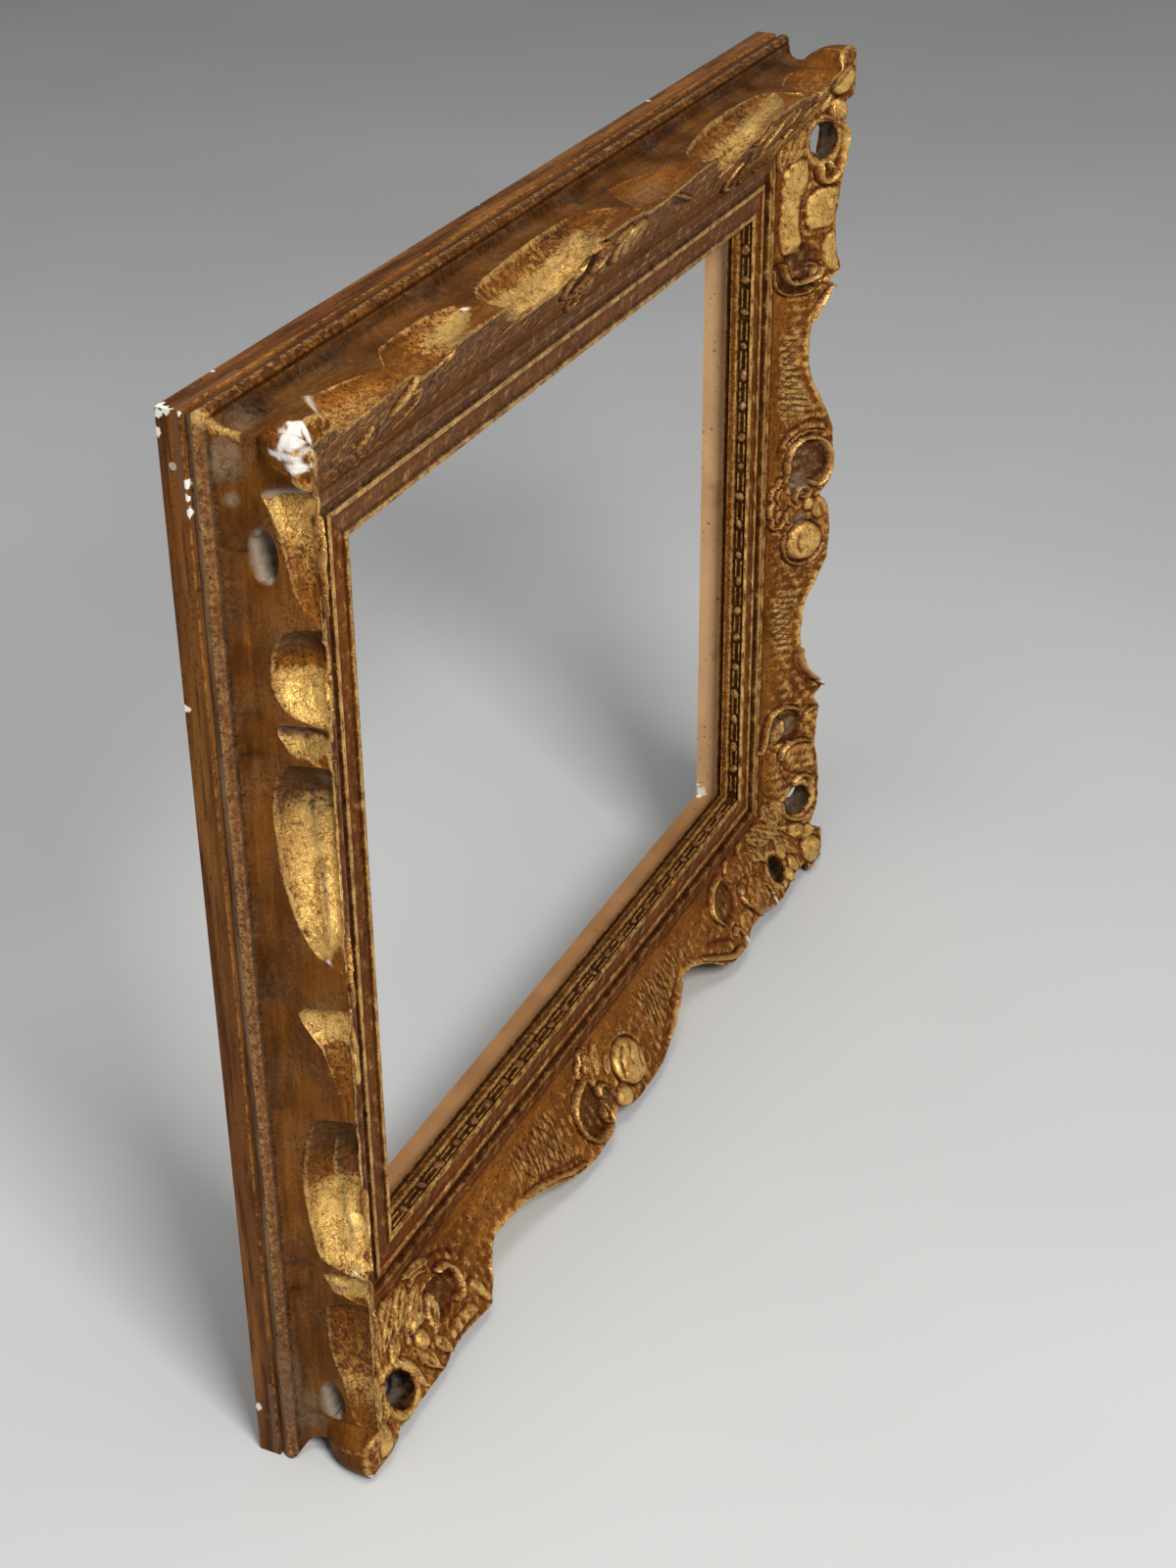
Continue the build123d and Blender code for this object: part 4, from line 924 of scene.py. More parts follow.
def trim_to_mitre(columns, p, d, half):
    """Ends each row where it meets the mitre. Returns the grids and the first column past each end."""
    s = np.broadcast_to(columns, p.shape).copy()
    p, d = p.copy(), d.copy()
    middle = len(columns) // 2
    beyond = np.abs(columns) - half
    stops = np.zeros((len(p), 2), int)
    for row in range(len(p)):
        for end, step in ((0, -1), (1, 1)):
            k = middle
            while 0 < k < len(columns) - 1 and p[row, k] > beyond[k]:
                k += step
            inner = k - step
            gap_in = p[row, inner] - beyond[inner]
            gap_out = p[row, k] - beyond[k]
            share = 1.0 if gap_in == gap_out else np.clip(gap_in / (gap_in - gap_out), 0, 1)
            stops[row, end] = k
            cut_p = p[row, inner] + share * (p[row, k] - p[row, inner])
            cut_d = d[row, inner] + share * (d[row, k] - d[row, inner])
            past = slice(0, k + 1) if end == 0 else slice(k, None)
            p[row, past] = cut_p
            d[row, past] = cut_d
            s[row, past] = step * (half + cut_p)
    return s, p, d, stops


def arrises(s, p, d):
    """How far each place stands proud of its surroundings (or lies below them), in millimetres."""
    here = np.stack([s, p, d], -1)
    run = np.roll(here, -1, 1) - np.roll(here, 1, 1)
    climb = np.roll(here, -1, 0) - np.roll(here, 1, 0)
    normal = np.cross(run, climb)
    normal /= np.linalg.norm(normal, axis=-1, keepdims=True) + 1e-9
    around = 0
    for step in (1, 2):
        for axis in (0, 1):
            around = around + np.roll(here, step, axis) + np.roll(here, -step, axis)
    return ((here - around / 8) * normal).sum(-1)


# Strips of the sight mouldings: where each starts and ends across the rail, how red and how dirty it is.
sight_strips = [(3.2, 5.0, 0.2, 0.7), (5.0, 11.0, 0.08, 0.18), (11.0, 12.9, 0.75, 0.12),
                (15.6, 17.4, 0.25, 0.72), (17.4, 19.6, 0.5, 0.1), (19.6, 21.7, 0.25, 0.68),
                (24.5, 25.6, 0.2, 0.55), (28.2, 29.4, 0.3, 0.5)]
mouldings_end = 28
gilded_crests = [(-1, 2.8), (13.1, 15.5)]
flat_band = (21.6, 28.2)
red_edge = 24.5
# Grey dirt on the outer walls: centre along the rail and up the wall, radii, strength.
grey_patches = {
    "left": [((106, 34), (8, 5), 0.6), ((131, 27), (4, 8), 0.7), ((229, 9), (4, 3.4), 1.0),
             ((246, 9), (12, 8), 0.9), ((237, 36), (2.5, 9), 0.6), ((1, 33), (3, 10), 0.5),
             ((-96, 36), (10, 8), 0.4), ((-240, 10), (20, 9), 0.6), ((-158, 28), (3, 6), 0.5),
             ((-222, 2), (40, 6), 0.6), ((172, 28), (8, 10), 0.35)],
    "top": [((-270, 30), (3, 9), 0.4), ((-285, 10), (14, 7), 0.4), ((48, 30), (20, 9), 0.35)],
}
wall_cracks = {"left": [[(208.5, 14), (208, 9), (210, 6.5), (217, 6)], [(237, 5), (239, 8), (243, 11)],
                        [(-90, 15), (-78, 18), (-63, 25)]]}
# Cut ends that have lost their leaf and show chalky grey.
chalky_ends = {"left": [[(233.5, 24), (236, 32), (237.5, 40)]],
               "top": [[(-253, 18), (-262, 28), (-273, 39)]]}
# Chips down to the white gesso: centre along the rail and up the wall, radii.
gesso_chips = {
    "left": [((261, 41.5), (5.5, 5.5)), ((255.5, 38), (1.8, 5.5)), ((251, 43), (3, 3.4)),
             ((24.5, 36.5), (1.4, 1.0)), ((-145, 38.5), (1.3, 1.0)), ((-262, 43), (1.6, 1.2))],
    "top": [((-300, 41), (4.5, 5)), ((-140, 28), (1.1, 2.6)), ((-104, 44), (1.3, 0.9)),
            ((96, 39), (1.3, 0.9))],
    "bottom": [((-299, 42), (2.2, 2.4)), ((-226, 43), (1.4, 1.4)), ((-176, 44), (1.6, 1.4)),
               ((-62, 43), (1.4, 1))],
    "right": [((128, 44), (1.6, 1.2))],
}
chip_overlap = 14


def mark_sight_wall(marks, side, s, p, height):
    """Dusty ledge, black quirk, and a black channel with worn bars between the pearls."""
    marks["dust"][:sight_wall_part.start] = 0.5
    leaf, soot_and_shade = marks["leaf"][sight_wall_part], marks["soot_and_shade"][sight_wall_part]
    channel = (height > channel_low) & (height < channel_high)
    raised = channel & (p < 1.6)
    patchy = np.clip(0.5 + 0.5 * wander(s, 3 * height, 12, 33), 0, 1)
    leaf[:] = np.where(raised, 0.35 + 0.4 * patchy, 0.25)
    soot_and_shade[(height > quirk_low) & (height < quirk_high)] = 1.0
    soot_and_shade[channel] = np.where(raised, 0.25 + 0.4 * patchy, 0.92)[channel]
    if side == "bottom":
        soot_and_shade += (0.45 + 0.3 * patchy) * (height < channel_low) + 0.5 * patchy * (height > channel_high)


def mark_front(marks, side, work, s, across):
    """Leaf, bole and dirt on the carving, and the lines of the sight mouldings."""
    leaf, bole, dust, soot_and_shade, _, hatch = (layer[front_part] for layer in marks.values())
    worn = wear_and_light[side]
    gilt = np.clip(work.leaf, 0, 1)
    uneven = wander(s, across, 8, 41) * rising(across, 30, 4)
    leaf[:] = worn["ground"] + 0.14 * rising(across, 33, 9) + 0.6 * gilt + worn["uneven"] * uneven
    bole[:] = 0.75 * work.bole
    dust[:] = work.dust
    hatch[:] = work.hatch
    soot_and_shade[:] = np.clip(-work.rise / 2.8, 0, 0.65) * (across > panel_start)
    soot_and_shade += 0.3 * np.clip(-uneven - 0.2, 0, 1) * (1 - gilt)
    for low, high, red, dirt_and_shade in sight_strips:
        strip = (across > low) & (across < high)
        bole[strip] = red
        soot_and_shade[strip] = dirt_and_shade
    leaf[across < mouldings_end] = 0.25
    for low, high in gilded_crests:
        leaf[(across > low) & (across < high)] = worn["crest"]
    on_band = (across > flat_band[0]) & (across < flat_band[1])
    leaf[on_band] = worn["band"]
    bole[on_band & (across < red_edge)] = worn["red"]
    if side != "right":
        soot_and_shade[on_band & (soot_and_shade < 0.3)] = 0.32
    if side == "top":
        dust[:] = np.maximum(dust, 0.22 * (across < mouldings_end))
    moulded = rising(across, 28.6, -0.6)
    broken = wander(s, 4 * across, 15, 51) + 0.6 * wander(s, 3 * across, 6, 53)
    leaf += moulded * worn["broken"] * broken
    soot_and_shade += moulded * 0.4 * np.clip(-broken - 0.15, 0, 1)
    bole += moulded * 0.4 * np.clip(wander(s, 3 * across, 24, 52) - 0.1, 0, 1)


def mark_wall(marks, side, cuts, s, p, d):
    """Rubbed leaf in the cuts of the outer wall with painted shade in them, blotches below them, and a
    dusty bead.
    """
    leaf, _, dust, soot_and_shade, _, _ = marks.values()
    cut_leaf_and_shade, painted_shade = cuts
    # The leaf in the cuts carries painted shade, and the dark layer there is painted shade alone; on the
    # left rail a little dust follows that shade.
    leaf[edge_part] = 0.12 + 0.78 * cut_leaf_and_shade * flowing(s[0], rubbed_wall[side])
    soot_and_shade[edge_part] = painted_shade
    dust[edge_part] = 0.2 * painted_shade * (side == "left")
    height = d[wall_part]
    blotch = wander(s[wall_part], 2 * height, 50, 34)
    leaf[wall_part] = 0.12 + 0.08 * blotch
    dust[wall_part] = 0.06 + 0.1 * blotch
    soot_and_shade[wall_part] = np.clip(0.5 * (9 - height) / 4.5, 0, 0.5) + 0.14 * np.clip(-blotch, 0, 1)
    soot_and_shade[wall_part] += wear_and_light[side]["wall_darkening"]
    leaf[bead_part] = 0.05
    dust[bead_part] = wear_and_light[side]["bead_dust"]
    soot_and_shade[bead_part] = wear_and_light[side]["bead_darkening"]
    soot_and_shade[wall_part.stop - 1:wall_part.stop + 2] = 0.7
    # The leaf is best kept along the mitre at the upper left corner, above the bead.
    if side in upper_left_end:
        kept = bell(p - (upper_left_end[side] * s - rails[side]["half"]), 0, 3.5) * (d < 14)
        kept[:front_part.stop] = 0
        leaf[:] = np.maximum(leaf, 0.95 * kept)
        soot_and_shade *= 1 - 0.8 * kept
    # A small dark pit in the nose of the top rail.
    if side == "top":
        q = np.hypot(oval(s, d, (-262.5, 44.5), (2.2, 2.2)), (p - 70) / 4)
        soot_and_shade[:] = np.maximum(soot_and_shade, np.clip(3 * (1 - q), 0, 1))


def mark_damage(marks, side, s, p, d):
    """Grey dirt, cracks and chips down to the white gesso, where the wall has been knocked."""
    leaf, _, dust, soot_and_shade, gesso, _ = marks.values()
    row = np.arange(len(p))[:, None]
    on_wall = row >= edge_part.start

    def drawn_on_wall(points, wide):
        gap = np.full(p.shape, 99.0)
        for place in drawn_line(points):
            gap = np.minimum(gap, np.hypot(s - place[0], d - place[1]))
        return bell(gap, 0, wide) * on_wall

    for centre, radii, amount in grey_patches.get(side, ()):
        patch = amount * np.clip(1.6 * (1 - oval(s, d, centre, radii)), 0, 1) * on_wall
        dust[:] = np.maximum(dust, patch)
        leaf *= 1 - 0.6 * patch
    for points in wall_cracks.get(side, ()):
        soot_and_shade[:] = np.maximum(soot_and_shade, drawn_on_wall(points, 1.2))
    for points in chalky_ends.get(side, ()):
        chalky = drawn_on_wall(points, 1.3)
        dust[:] = np.maximum(dust, 0.9 * chalky)
        gesso[:] = np.maximum(gesso, 0.55 * chalky)
        soot_and_shade *= 1 - 0.8 * chalky
    for centre, radii in gesso_chips[side]:
        ragged = 1 - oval(s, d, centre, radii) + 0.45 * wander(s, d, 4.4, 21)
        chip = np.clip(4 * ragged, 0, 1) * (row >= edge_part.start - chip_overlap)
        gesso[:] = np.maximum(gesso, chip)
    for mouth, radii, _ in holes(side):
        ring = 0.7 * bell(oval(s, p, mouth, radii), 1, 0.08)
        soot_and_shade[front_part] = np.maximum(soot_and_shade[front_part], ring[front_part])


def rail_marks(side, work, cuts, s, p, d):
    """Leaf, bole, dust, dirt and painted shade, gesso and hatching over the whole rail, row by row."""
    marks = {name: np.zeros(p.shape) for name in ("leaf", "bole", "dust", "soot_and_shade", "gesso", "hatch")}
    mark_sight_wall(marks, side, s[sight_wall_part], p[sight_wall_part], d[sight_wall_part])
    mark_front(marks, side, work, s[front_part], p[front_part])
    mark_wall(marks, side, cuts, s, p, d)
    # Arrises are rubbed bright, with a little bole showing; hollows hold dirt.
    proud = arrises(s, p, d) / 0.30
    worn = np.clip(proud - 0.2, 0, 1)
    marks["leaf"] += 0.5 * worn
    marks["bole"] += 0.25 * worn
    marks["soot_and_shade"] += 0.6 * np.clip(-proud - 0.15, 0, 1)
    mark_damage(marks, side, s, p, d)
    return {name: np.clip(values, 0, 1) for name, values in marks.items()}


def lace(loop, loop_turns, ring, ring_turns, forward):
    """Triangles between a loop and a ring of points round the same axis, each given in order of turn."""
    faces = []
    i = j = 0
    loop_turns = list(loop_turns) + [loop_turns[0] + 2 * math.pi]
    ring_turns = list(ring_turns) + [ring_turns[0] + 2 * math.pi]
    while i < len(loop) or j < len(ring):
        here, there = loop[i % len(loop)], ring[j % len(ring)]
        if j == len(ring) or (i < len(loop) and loop_turns[i + 1] <= ring_turns[j + 1]):
            face = [here, loop[(i + 1) % len(loop)], there]
            i += 1
        else:
            face = [here, ring[(j + 1) % len(ring)], there]
            j += 1
        faces.append(face if forward else face[::-1])
    return faces


def loop_round(inside):
    """The loop of grid points round a patch of cells."""
    follows = {}
    for row, cell in zip(*np.nonzero(inside)):
        ring = [(row, cell), (row, cell + 1), (row + 1, cell + 1), (row + 1, cell)]
        beside = [(row - 1, cell), (row, cell + 1), (row + 1, cell), (row, cell - 1)]
        for k, near in enumerate(beside):
            if not inside[near]:
                follows[ring[k]] = ring[(k + 1) % 4]
    loop = [min(follows)]
    while follows[loop[-1]] != loop[0]:
        loop.append(follows[loop[-1]])
    return loop


def open_mouth(keep, inside, s, axis, centre, radii):
    """Takes the cells inside an oval out of the grid and moves the points round them on to it. Returns
    those points and their turns, in order of turn, and whether the loop runs that way."""
    keep &= ~inside
    loop = loop_round(inside)
    turns = np.array([math.atan2((axis[place] - centre[1]) / radii[1], (s[place] - centre[0]) / radii[0])
                      for place in loop]) % (2 * math.pi)
    forward = np.median((np.roll(turns, -1) - turns + math.pi) % (2 * math.pi) - math.pi) > 0
    order = np.argsort(turns)
    loop, turns = [loop[k] for k in order], turns[order]
    for place, turn in zip(loop, turns):
        s[place] = centre[0] + radii[0] * math.cos(turn)
        axis[place] = centre[1] + radii[1] * math.sin(turn)
    return loop, turns, forward


tunnel_shares = (0.15, 0.4, 0.65, 0.88)
tunnel_points = 28


def pierce(side, s, p, d, index, keep):
    """Opens the pierced holes: cells that they cross are taken out and a rough tunnel joins both mouths."""
    grid = np.stack([s, p, d], -1)
    middle_s, middle_p, middle_d = np.moveaxis(
        (grid[:-1, :-1] + grid[1:, :-1] + grid[:-1, 1:] + grid[1:, 1:]) / 4, -1, 0)
    row = np.arange(len(keep))[:, None]
    on_panel = (row >= front_part.start + len(sight_rows) + 2) & (row < edge_part.start - 3)
    on_wall = (row >= wall_part.start + 1) & (row < wall_part.stop - 1)
    turns = np.linspace(0, 2 * math.pi, tunnel_points + 1)[:-1]
    extra, faces = [], []
    for mouth, radii, leave in holes(side):
        wide, tall = radii
        face_in = on_panel & (oval(middle_s, middle_p, mouth, radii) < 1)
        face_out = on_wall & (oval(middle_s, middle_d, leave, exit_radii) < 1)
        front_loop, front_turns, forward = open_mouth(keep, face_in, s, p, mouth, radii)
        exit_loop, exit_turns, onward = open_mouth(keep, face_out, s, d, leave, exit_radii)
        start = np.array((*mouth, np.mean([d[place] for place in front_loop])))
        finish = np.array((leave[0], float(flowing(np.array(float(leave[1])), outer_wall)), leave[1]))
        rings = []
        for u in tunnel_shares:
            rough = 1 + 0.11 * np.sin(5 * turns + 9 * u) + 0.09 * np.sin(9 * turns - 14 * u)
            side_way = np.array((wide + (exit_radii[0] - wide) * u, 0, 0))
            up = np.array((0, tall * (1 - u), panel_slope * tall * (1 - u) + exit_radii[1] * u))
            ring = np.outer(np.cos(turns) * rough, side_way) + np.outer(np.sin(turns) * rough, up)
            first = s.size + len(extra)
            rings.append(list(range(first, first + tunnel_points)))
            extra.extend(start + (finish - start) * u + ring)
        faces += lace([index[place] for place in front_loop], front_turns, rings[0], turns, forward)
        for near, far in zip(rings[:-1], rings[1:]):
            faces += lace(near, turns, far, turns, forward)
        faces += lace([index[place] for place in exit_loop], exit_turns, rings[-1], turns, onward)
    return extra, faces


pearl_least = (1.9, 1.4, 1.9)
pearl_most = (3.5, 1.9, 3.1)
pearl_seat = (1.9, 11.1)
pearl_astray = ((-1.8, 0, -0.5), (1.8, 0.2, 0.6))
pearl_tilts = (35, 70, 105, 140)
pearl_points = 10


def pearls(half, count_before):
    """Small carved pearls along the channel of the sight edge, none quite alike: places and faces."""
    places, faces = [], []
    number = int((half - 4) / pearl_pitch)
    hand = np.random.default_rng(17)
    for k in range(-number, number + 1):
        start = count_before + len(places)
        long, deep, tall = hand.uniform(pearl_least, pearl_most)
        centre = np.array((k * pearl_pitch, *pearl_seat)) + hand.uniform(*pearl_astray)
        places.append(centre + (0, -deep, 0))
        for tilt in np.radians(pearl_tilts):
            for turn in np.linspace(0, 2 * math.pi, pearl_points + 1)[:-1]:
                ring = math.sin(tilt) * (1 + 0.15 * math.sin(2 * turn + k))
                places.append(centre + (long * ring * math.cos(turn), -deep * math.cos(tilt),
                                        tall * ring * math.sin(turn)))
        places.append(centre + (0, deep, 0))
        last = start + len(pearl_tilts) * pearl_points + 1
        for j in range(pearl_points):
            after = (j + 1) % pearl_points
            faces.append([start, start + 1 + j, start + 1 + after])
            for level in range(len(pearl_tilts) - 1):
                low = start + 1 + level * pearl_points
                high = low + pearl_points
                faces.append([low + j, high + j, high + after, low + after])
            faces.append([last, last - pearl_points + after, last - pearl_points + j])
    return places, faces


def rail_faces(p, d, index, keep):
    """Faces of the grid where it is kept, closed round the section, and the two mitred ends."""
    faces = []
    rows, count = index.shape
    keep = np.concatenate([keep, np.ones((1, count - 1), bool)])
    above = np.roll(index, -1, axis=0)
    quads = np.stack([index[:, :-1], index[:, 1:], above[:, 1:], above[:, :-1]], -1)[keep]
    for quad in quads.tolist():
        corners = list(dict.fromkeys(quad))
        if len(corners) > 2:
            faces.append(corners)
    for column, turn in ((0, 1), (count - 1, -1)):
        ring = index[:, column].tolist()
        outline = [Vector((p[row, column], d[row, column], 0)) for row in range(rows)]
        for triangle in tessellate_polygon([outline]):
            faces.append([ring[k] for k in triangle][::turn])
    return faces


# Marks on the rings of a tunnel, from the front: black, then bare grey filler. In the bottom rail the
# tunnels are black throughout, as painted shade inside the holes, and the pearls duller.
grey_tunnel = {"bole": (0.1, 0, 0, 0), "dust": (0.5, 0.8, 1.0, 1.0), "soot_and_shade": (0.9, 0.7, 0.25, 0.1),
               "gesso": (0, 0, 0.08, 0.16)}
painted_shade_tunnel = {**grey_tunnel, "dust": (0.05, 0.05, 0.1, 0.3), "soot_and_shade": (1.0, 1.0, 1.0, 0.85)}
worn_pearl = {"leaf": 0.65, "bole": 0.3, "dust": 0.25, "soot_and_shade": 0.14}
dull_pearl = {**worn_pearl, "leaf": 0.4, "dust": 0.36}
smooth_limit = math.radians(48)


def build_rail(side, gilding):
    """One carved rail: rows ended at the mitres, pierced, set with pearls and marked for wear."""
    half = rails[side]["half"]
    columns, p, d, work, cuts = rail_profile(side)
    marks = rail_marks(side, work, cuts, np.broadcast_to(columns, p.shape), p, d)
    s, p, d, stops = trim_to_mitre(columns, p, d, half)
    rows, count = p.shape
    index = np.arange(rows * count).reshape(rows, count)
    for row, (low, high) in enumerate(stops):
        index[row, :low] = index[row, low]
        index[row, high:] = index[row, high]
    keep = np.ones((rows - 1, count - 1), bool)
    tunnel_places, faces = pierce(side, s, p, d, index, keep)
    pearl_places, pearl_faces = pearls(half, rows * count + len(tunnel_places))
    faces += pearl_faces + rail_faces(p, d, index, keep)
    grid = np.stack([s, p, d], -1).reshape(-1, 3)
    local = np.concatenate([grid, np.array(tunnel_places + pearl_places)])
    axes = np.array((rails[side]["along"], outward_of[side], (0, -1, 0)))
    place = np.array(rails[side]["middle"]) + local @ axes
    used = np.unique(np.concatenate([np.array(face) for face in faces]))
    renumber = np.full(len(place), -1)
    renumber[used] = np.arange(len(used))
    mesh = bpy.data.meshes.new("carved_" + side)
    mesh.from_pydata((place[used] / 1000).tolist(), [], [renumber[face].tolist() for face in faces])
    mesh.shade_smooth()
    mesh.set_sharp_from_angle(angle=smooth_limit)
    tunnel, pearl = (painted_shade_tunnel, dull_pearl) if side == "bottom" else (grey_tunnel, worn_pearl)
    for name, values in marks.items():
        inside = np.tile(np.repeat(tunnel.get(name, (0, 0, 0, 0)), tunnel_points), len(pierced[side]))
        if name == "soot_and_shade":
            k = np.arange(len(tunnel_places))
            inside = inside + 0.7 * np.clip(np.sin(2.3 * k) * np.sin(0.9 * k + 1), 0, 1)
        on_pearls = np.full(len(pearl_places), pearl.get(name, 0))
        layer = mesh.attributes.new(name, "FLOAT", "POINT")
        everywhere = np.concatenate([values.reshape(-1), inside, on_pearls])
        layer.data.foreach_set("value", everywhere[used].astype(np.float32))
    layer = mesh.attributes.new("along", "FLOAT_VECTOR", "POINT")
    layer.data.foreach_set("vector", (local[used] / 1000).astype(np.float32).reshape(-1))
    mesh.materials.append(gilding)
    rail = bpy.data.objects.new("carving_" + side, mesh)
    bpy.context.collection.objects.link(rail)
    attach(rail, "frame")
    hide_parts("carved_rail_" + side)


def water_gilding():
    """Worn leaf over red bole and gesso, toned brown, with dirt in the hollows and painted shade in the
    cuts of the outer walls and in the tunnels.
    """
    gold = Finish("worn_gilding")
    leaf, bole, dust = gold.mark("leaf"), gold.mark("bole"), gold.mark("dust")
    soot_and_shade, gesso, hatch = gold.mark("soot_and_shade"), gold.mark("gesso"), gold.mark("hatch")
    rail = gold.add("Attribute", attribute_name="along").outputs["Vector"]
    cloud = gold.noise(34, 4)
    patch = gold.noise(11, 4, 0.6, None, 0.5)
    mottle = gold.noise(3.6, 7, 0.68, None, 0.9)
    grit = gold.noise(1.5, 4, 0.62)
    streak = gold.noise(2.4, 6, 0.62, (0.09, 1, 1), 0.3, rail)
    toned = gold.mix(gold.band(cloud, 0.36, 0.64), (122, 74, 27), (92, 52, 17))
    toned = gold.mix(gold.band(streak, 0.5, 0.68, 0, 0.55), toned, (68, 36, 12))
    toned = gold.mix(gold.band(streak, 0.3, 0.46, 0.4, 0), toned, (148, 92, 36))
    rubbed = gold.mix(gold.band(leaf, 0.3, 0.85), (166, 104, 36), (252, 204, 116))
    rubbed = gold.mix(gold.band(patch, 0.42, 0.64, 0, 0.5), rubbed, (172, 110, 40))
    lean = gold.times(gold.calc("SUBTRACT", leaf, 0.5), 0.30)
    cover = gold.band(gold.calc("ADD", mottle, lean), 0.43, 0.59)
    cover = gold.times(cover, gold.band(leaf, 0.1, 0.5, 0.15, 1.0), gold.band(hatch, 0, 1, 1.0, 0.5))
    cover = gold.calc("ADD", cover, gold.times(hatch, 0.26))
    colour = gold.mix(cover, toned, rubbed)
    # Fine strokes cut across the sweeps with a veiner.
    strokes = []
    for turn, pitch in ((0.32, 3.4), (-0.55, 5.6)):
        where = gold.add("Mapping", {"Vector": rail, "Rotation": (0, 0, turn)}).outputs["Vector"]
        inputs = {"Vector": where, "Scale": 314 / pitch, "Distortion": 3.0, "Detail": 2.0,
                  "Detail Scale": 1.5}
        wave = gold.add("TexWave", inputs, bands_direction="X").outputs["Fac"]
        strokes.append(gold.band(wave, 0.8, 0.96))
    crossing = gold.times(strokes[1], gold.band(patch, 0.44, 0.54))
    stroke = gold.times(gold.calc("MAXIMUM", strokes[0], crossing), hatch)
    colour = gold.mix(gold.times(stroke, 0.8), colour, (70, 34, 11))
    # Wrinkles and crazing in the leaf, bole where it is rubbed through, flecks, dirt and painted shade,
    # dust and gesso.
    wrinkle = gold.calc("SUBTRACT", gold.noise(6.0, 6, 0.66, None, 1.6), 0.5)
    vein = gold.band(gold.calc("ABSOLUTE", wrinkle, 0.0), 0.0, 0.03, 0.6, 0.0)
    vein = gold.times(vein, gold.band(leaf, 0.2, 0.5), gold.band(leaf, 0.75, 1.0, 1.0, 0.35))
    colour = gold.mix(vein, colour, (92, 40, 14))
    inputs = {"Vector": gold.place, "Scale": 1000 / 3.0}
    cells = gold.add("TexVoronoi", inputs, feature="DISTANCE_TO_EDGE")
    crazed = gold.times(gold.band(cells.outputs["Distance"], 0.0, 0.07, 0.45, 0.0),
                        gold.band(leaf, 0.4, 0.7), gold.band(patch, 0.4, 0.58, 0.1, 1.0))
    colour = gold.mix(crazed, colour, (112, 60, 22))
    bared = gold.times(bole, gold.band(mottle, 0.36, 0.56, 0.55, 1.0))
    colour = gold.mix(bared, colour, (112, 44, 15))
    flecks = gold.times(gold.band(grit, 0.54, 0.62, 0, 0.9), gold.band(leaf, 0.6, 1.0, 1.0, 0.2),
                        gold.band(leaf, 0.1, 0.25, 0.35, 1.0))
    colour = gold.mix(flecks, colour, (58, 29, 9))
    # The dark layer holds dirt, and painted shade in the cuts of the outer walls and in the tunnels.
    dirt_and_shade = gold.times(soot_and_shade, gold.band(mottle, 0.3, 0.62, 1.0, 0.7))
    colour = gold.mix(dirt_and_shade, colour, (26, 14, 6))
    settled = gold.times(dust, gold.band(mottle, 0.4, 0.56, 0.3, 0.9))
    colour = gold.mix(settled, colour, (122, 104, 84))
    colour = gold.mix(gesso, colour, (216, 210, 200))
    clean = gold.band(gold.calc("MAXIMUM", gold.calc("MAXIMUM", soot_and_shade, dust), gesso), 0, 0.7, 1.0, 0.0)
    gold.shade({"Base Color": colour,
                "Metallic": gold.times(cover, clean, gold.band(leaf, 0.3, 0.8, 0.0, 0.76)),
                "Roughness": gold.band(mottle, 0.3, 0.7, 0.24, 0.46),
                "Specular IOR Level": gold.band(leaf, 0.25, 0.7, 0.02, 0.15)})
    texture = gold.times(mottle, gold.band(leaf, 0.1, 0.45, 0.35, 1.0))
    for height, share in ((grit, 0.6), (streak, 0.35), (gold.times(dust, patch), 1.2)):
        texture = gold.calc("ADD", texture, gold.times(height, share))
    gold.relief(gold.calc("SUBTRACT", texture, gold.calc("ADD", stroke, crazed)), 0.55, 0.9)
    return gold.material


gilding = water_gilding()
for side in rails:
    build_rail(side, gilding)


# Hangers: a pressed brass strap screwed to each upright, with a brass wire ring that swings in its eye.
# Picture wire or hooks take hold of the rings when the frame hangs.
def tarnished(name, light, dark, rough):
    """Metal gone dull in patches, with fine scratches."""
    metal = Finish(name)
    cloud = metal.noise(7, 5, 0.6)
    scratch = metal.noise(1.2, 3, 0.5, (1, 1, 0.08))
    metal.shade({"Base Color": metal.mix(metal.band(cloud, 0.35, 0.68), light, dark), "Metallic": 0.9,
                 "Roughness": metal.band(cloud, 0.3, 0.7, rough, rough + 0.2)})
    metal.relief(scratch, 0.05, 0.5)
    return metal.material


hanger_brass = tarnished("hanger_brass", (196, 160, 92), (122, 92, 48), 0.3)
for side in ("left", "right"):
    coat("hanger_strap_" + side, hanger_brass)
    coat("hanger_ring_" + side, hanger_brass)


# Hanger screws: countersunk steel wood screws, two through each strap.
# They are driven into the back rails, with their heads flush.
screw_steel = tarnished("screw_steel", (168, 164, 156), (104, 98, 90), 0.32)
coat("hanger_screws", screw_steel)


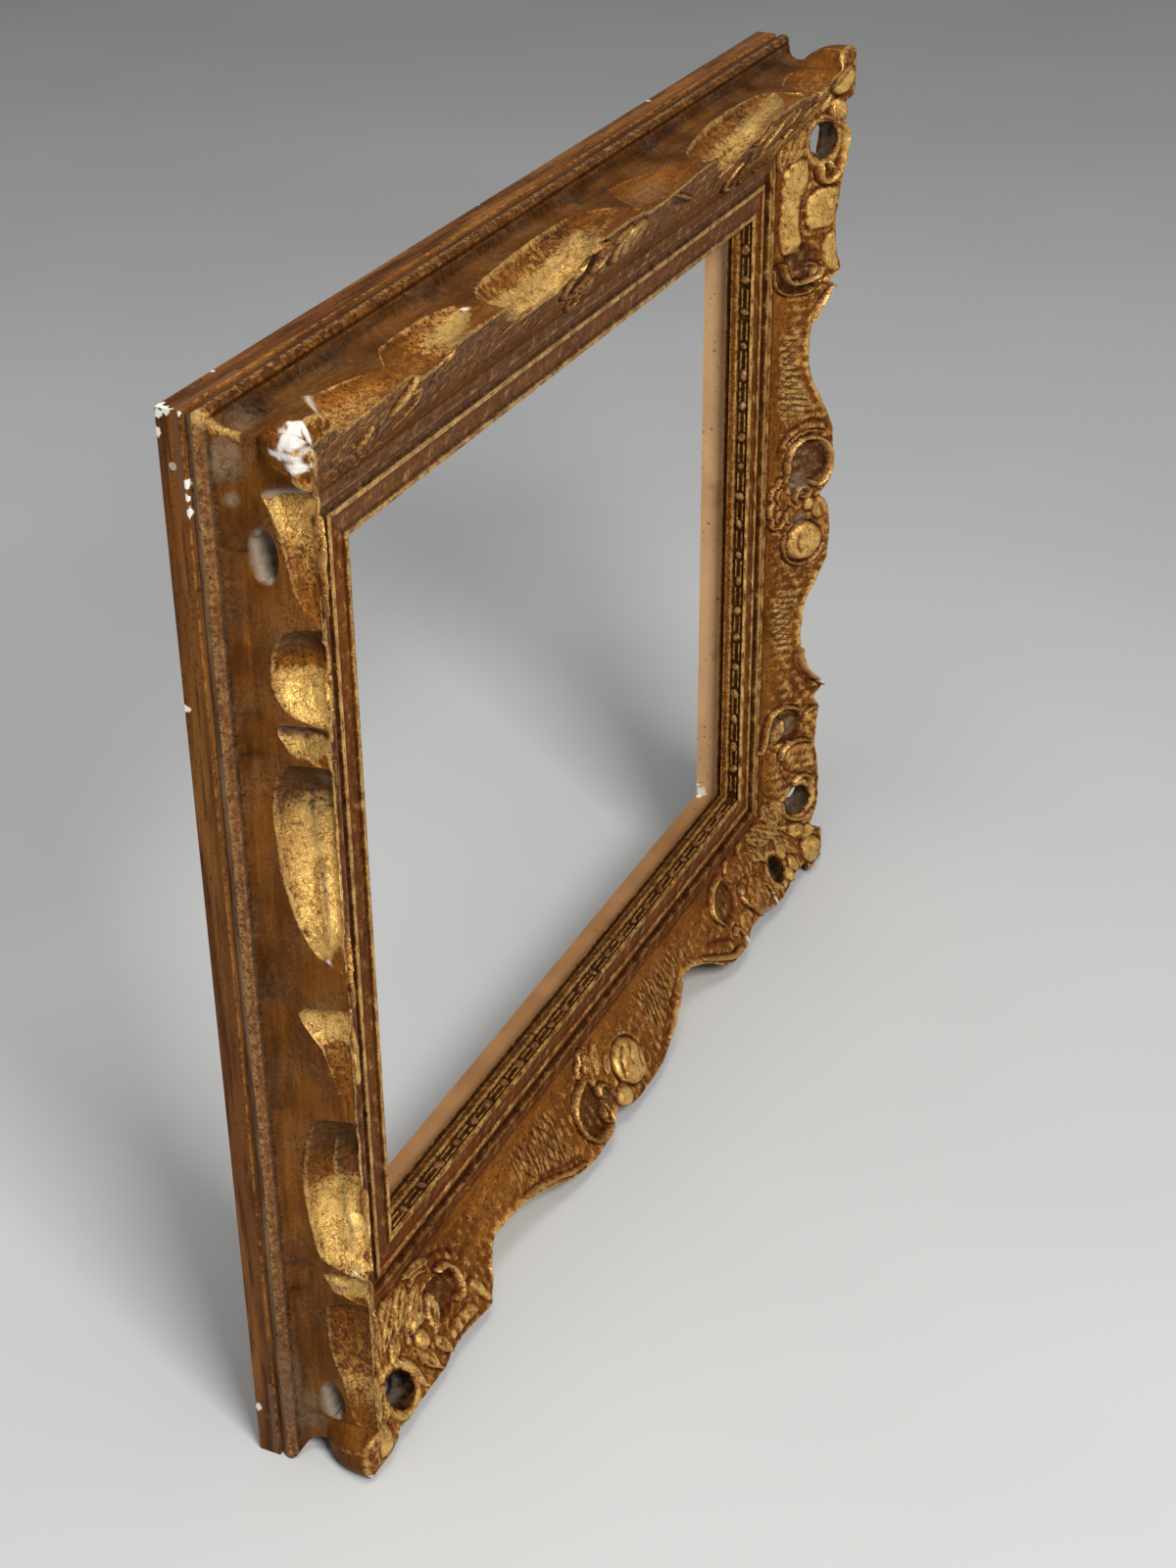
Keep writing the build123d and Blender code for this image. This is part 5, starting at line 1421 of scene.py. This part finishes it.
# Turn buttons: small pressed brass plates that swing over the rebate and hold a picture in.
# Each swings on one steel screw, left just loose enough to turn by hand.
button_brass = tarnished("button_brass", (188, 150, 84), (112, 84, 44), 0.34)
for place in (*frame_corners, "left", "right"):
    coat("turn_button_" + place, button_brass)
coat("turn_button_screws", screw_steel)


# Floor, light and camera: a plain pale floor under soft light, seen from the upper left.
# The frame stands on the lower edge of its back and carving.
floor_half = 12.0
floor_corners = [(-floor_half, -floor_half, 0), (floor_half, -floor_half, 0),
                 (floor_half, floor_half, 0), (-floor_half, floor_half, 0)]
floor_mesh = bpy.data.meshes.new("floor")
floor_mesh.from_pydata(floor_corners, [], [(0, 1, 2, 3)])
floor = bpy.data.objects.new("floor", floor_mesh)
bpy.context.collection.objects.link(floor)
paint = Finish("pale_floor")
paint_colour = paint.mix(paint.band(paint.noise(600, 3), 0.3, 0.7), (198, 198, 196), (190, 190, 188))
paint.shade({"Base Color": paint_colour, "Roughness": 0.9})
floor_mesh.materials.append(paint.material)

world = bpy.data.worlds.new("studio")
bpy.context.scene.world = world
world.use_nodes = True
world.node_tree.nodes["Background"].inputs["Color"].default_value = srgb(236, 238, 242)
world.node_tree.nodes["Background"].inputs["Strength"].default_value = 0.25


def soft_lamp(name, place, target, size, power):
    """A square lamp turned towards a place in the room."""
    lamp = bpy.data.lights.new(name, "AREA")
    lamp.energy = power
    lamp.size = size
    holder = bpy.data.objects.new(name, lamp)
    holder.location = place
    holder.rotation_euler = (Vector(target) - Vector(place)).to_track_quat("-Z", "Y").to_euler()
    bpy.context.collection.objects.link(holder)


soft_lamp("window_left", (-1.3, -1.5, 1.9), (0, 0, 0.25), 0.8, 64)
soft_lamp("ceiling", (-0.5, -0.2, 2.4), (0, 0, 0.2), 1.0, 24)

camera_place = (-1.03082, -0.48763, 0.88131)
camera_turn = (59.584, 0.478, -65.178)
camera_data = bpy.data.cameras.new("camera")
camera_data.sensor_width = 36.0
camera_data.lens = 57.51
camera = bpy.data.objects.new("camera", camera_data)
camera.location = camera_place
camera.rotation_euler = Euler([math.radians(angle) for angle in camera_turn], "XYZ")
bpy.context.collection.objects.link(camera)
bpy.context.scene.camera = camera
bpy.context.scene.view_settings.view_transform = "Standard"
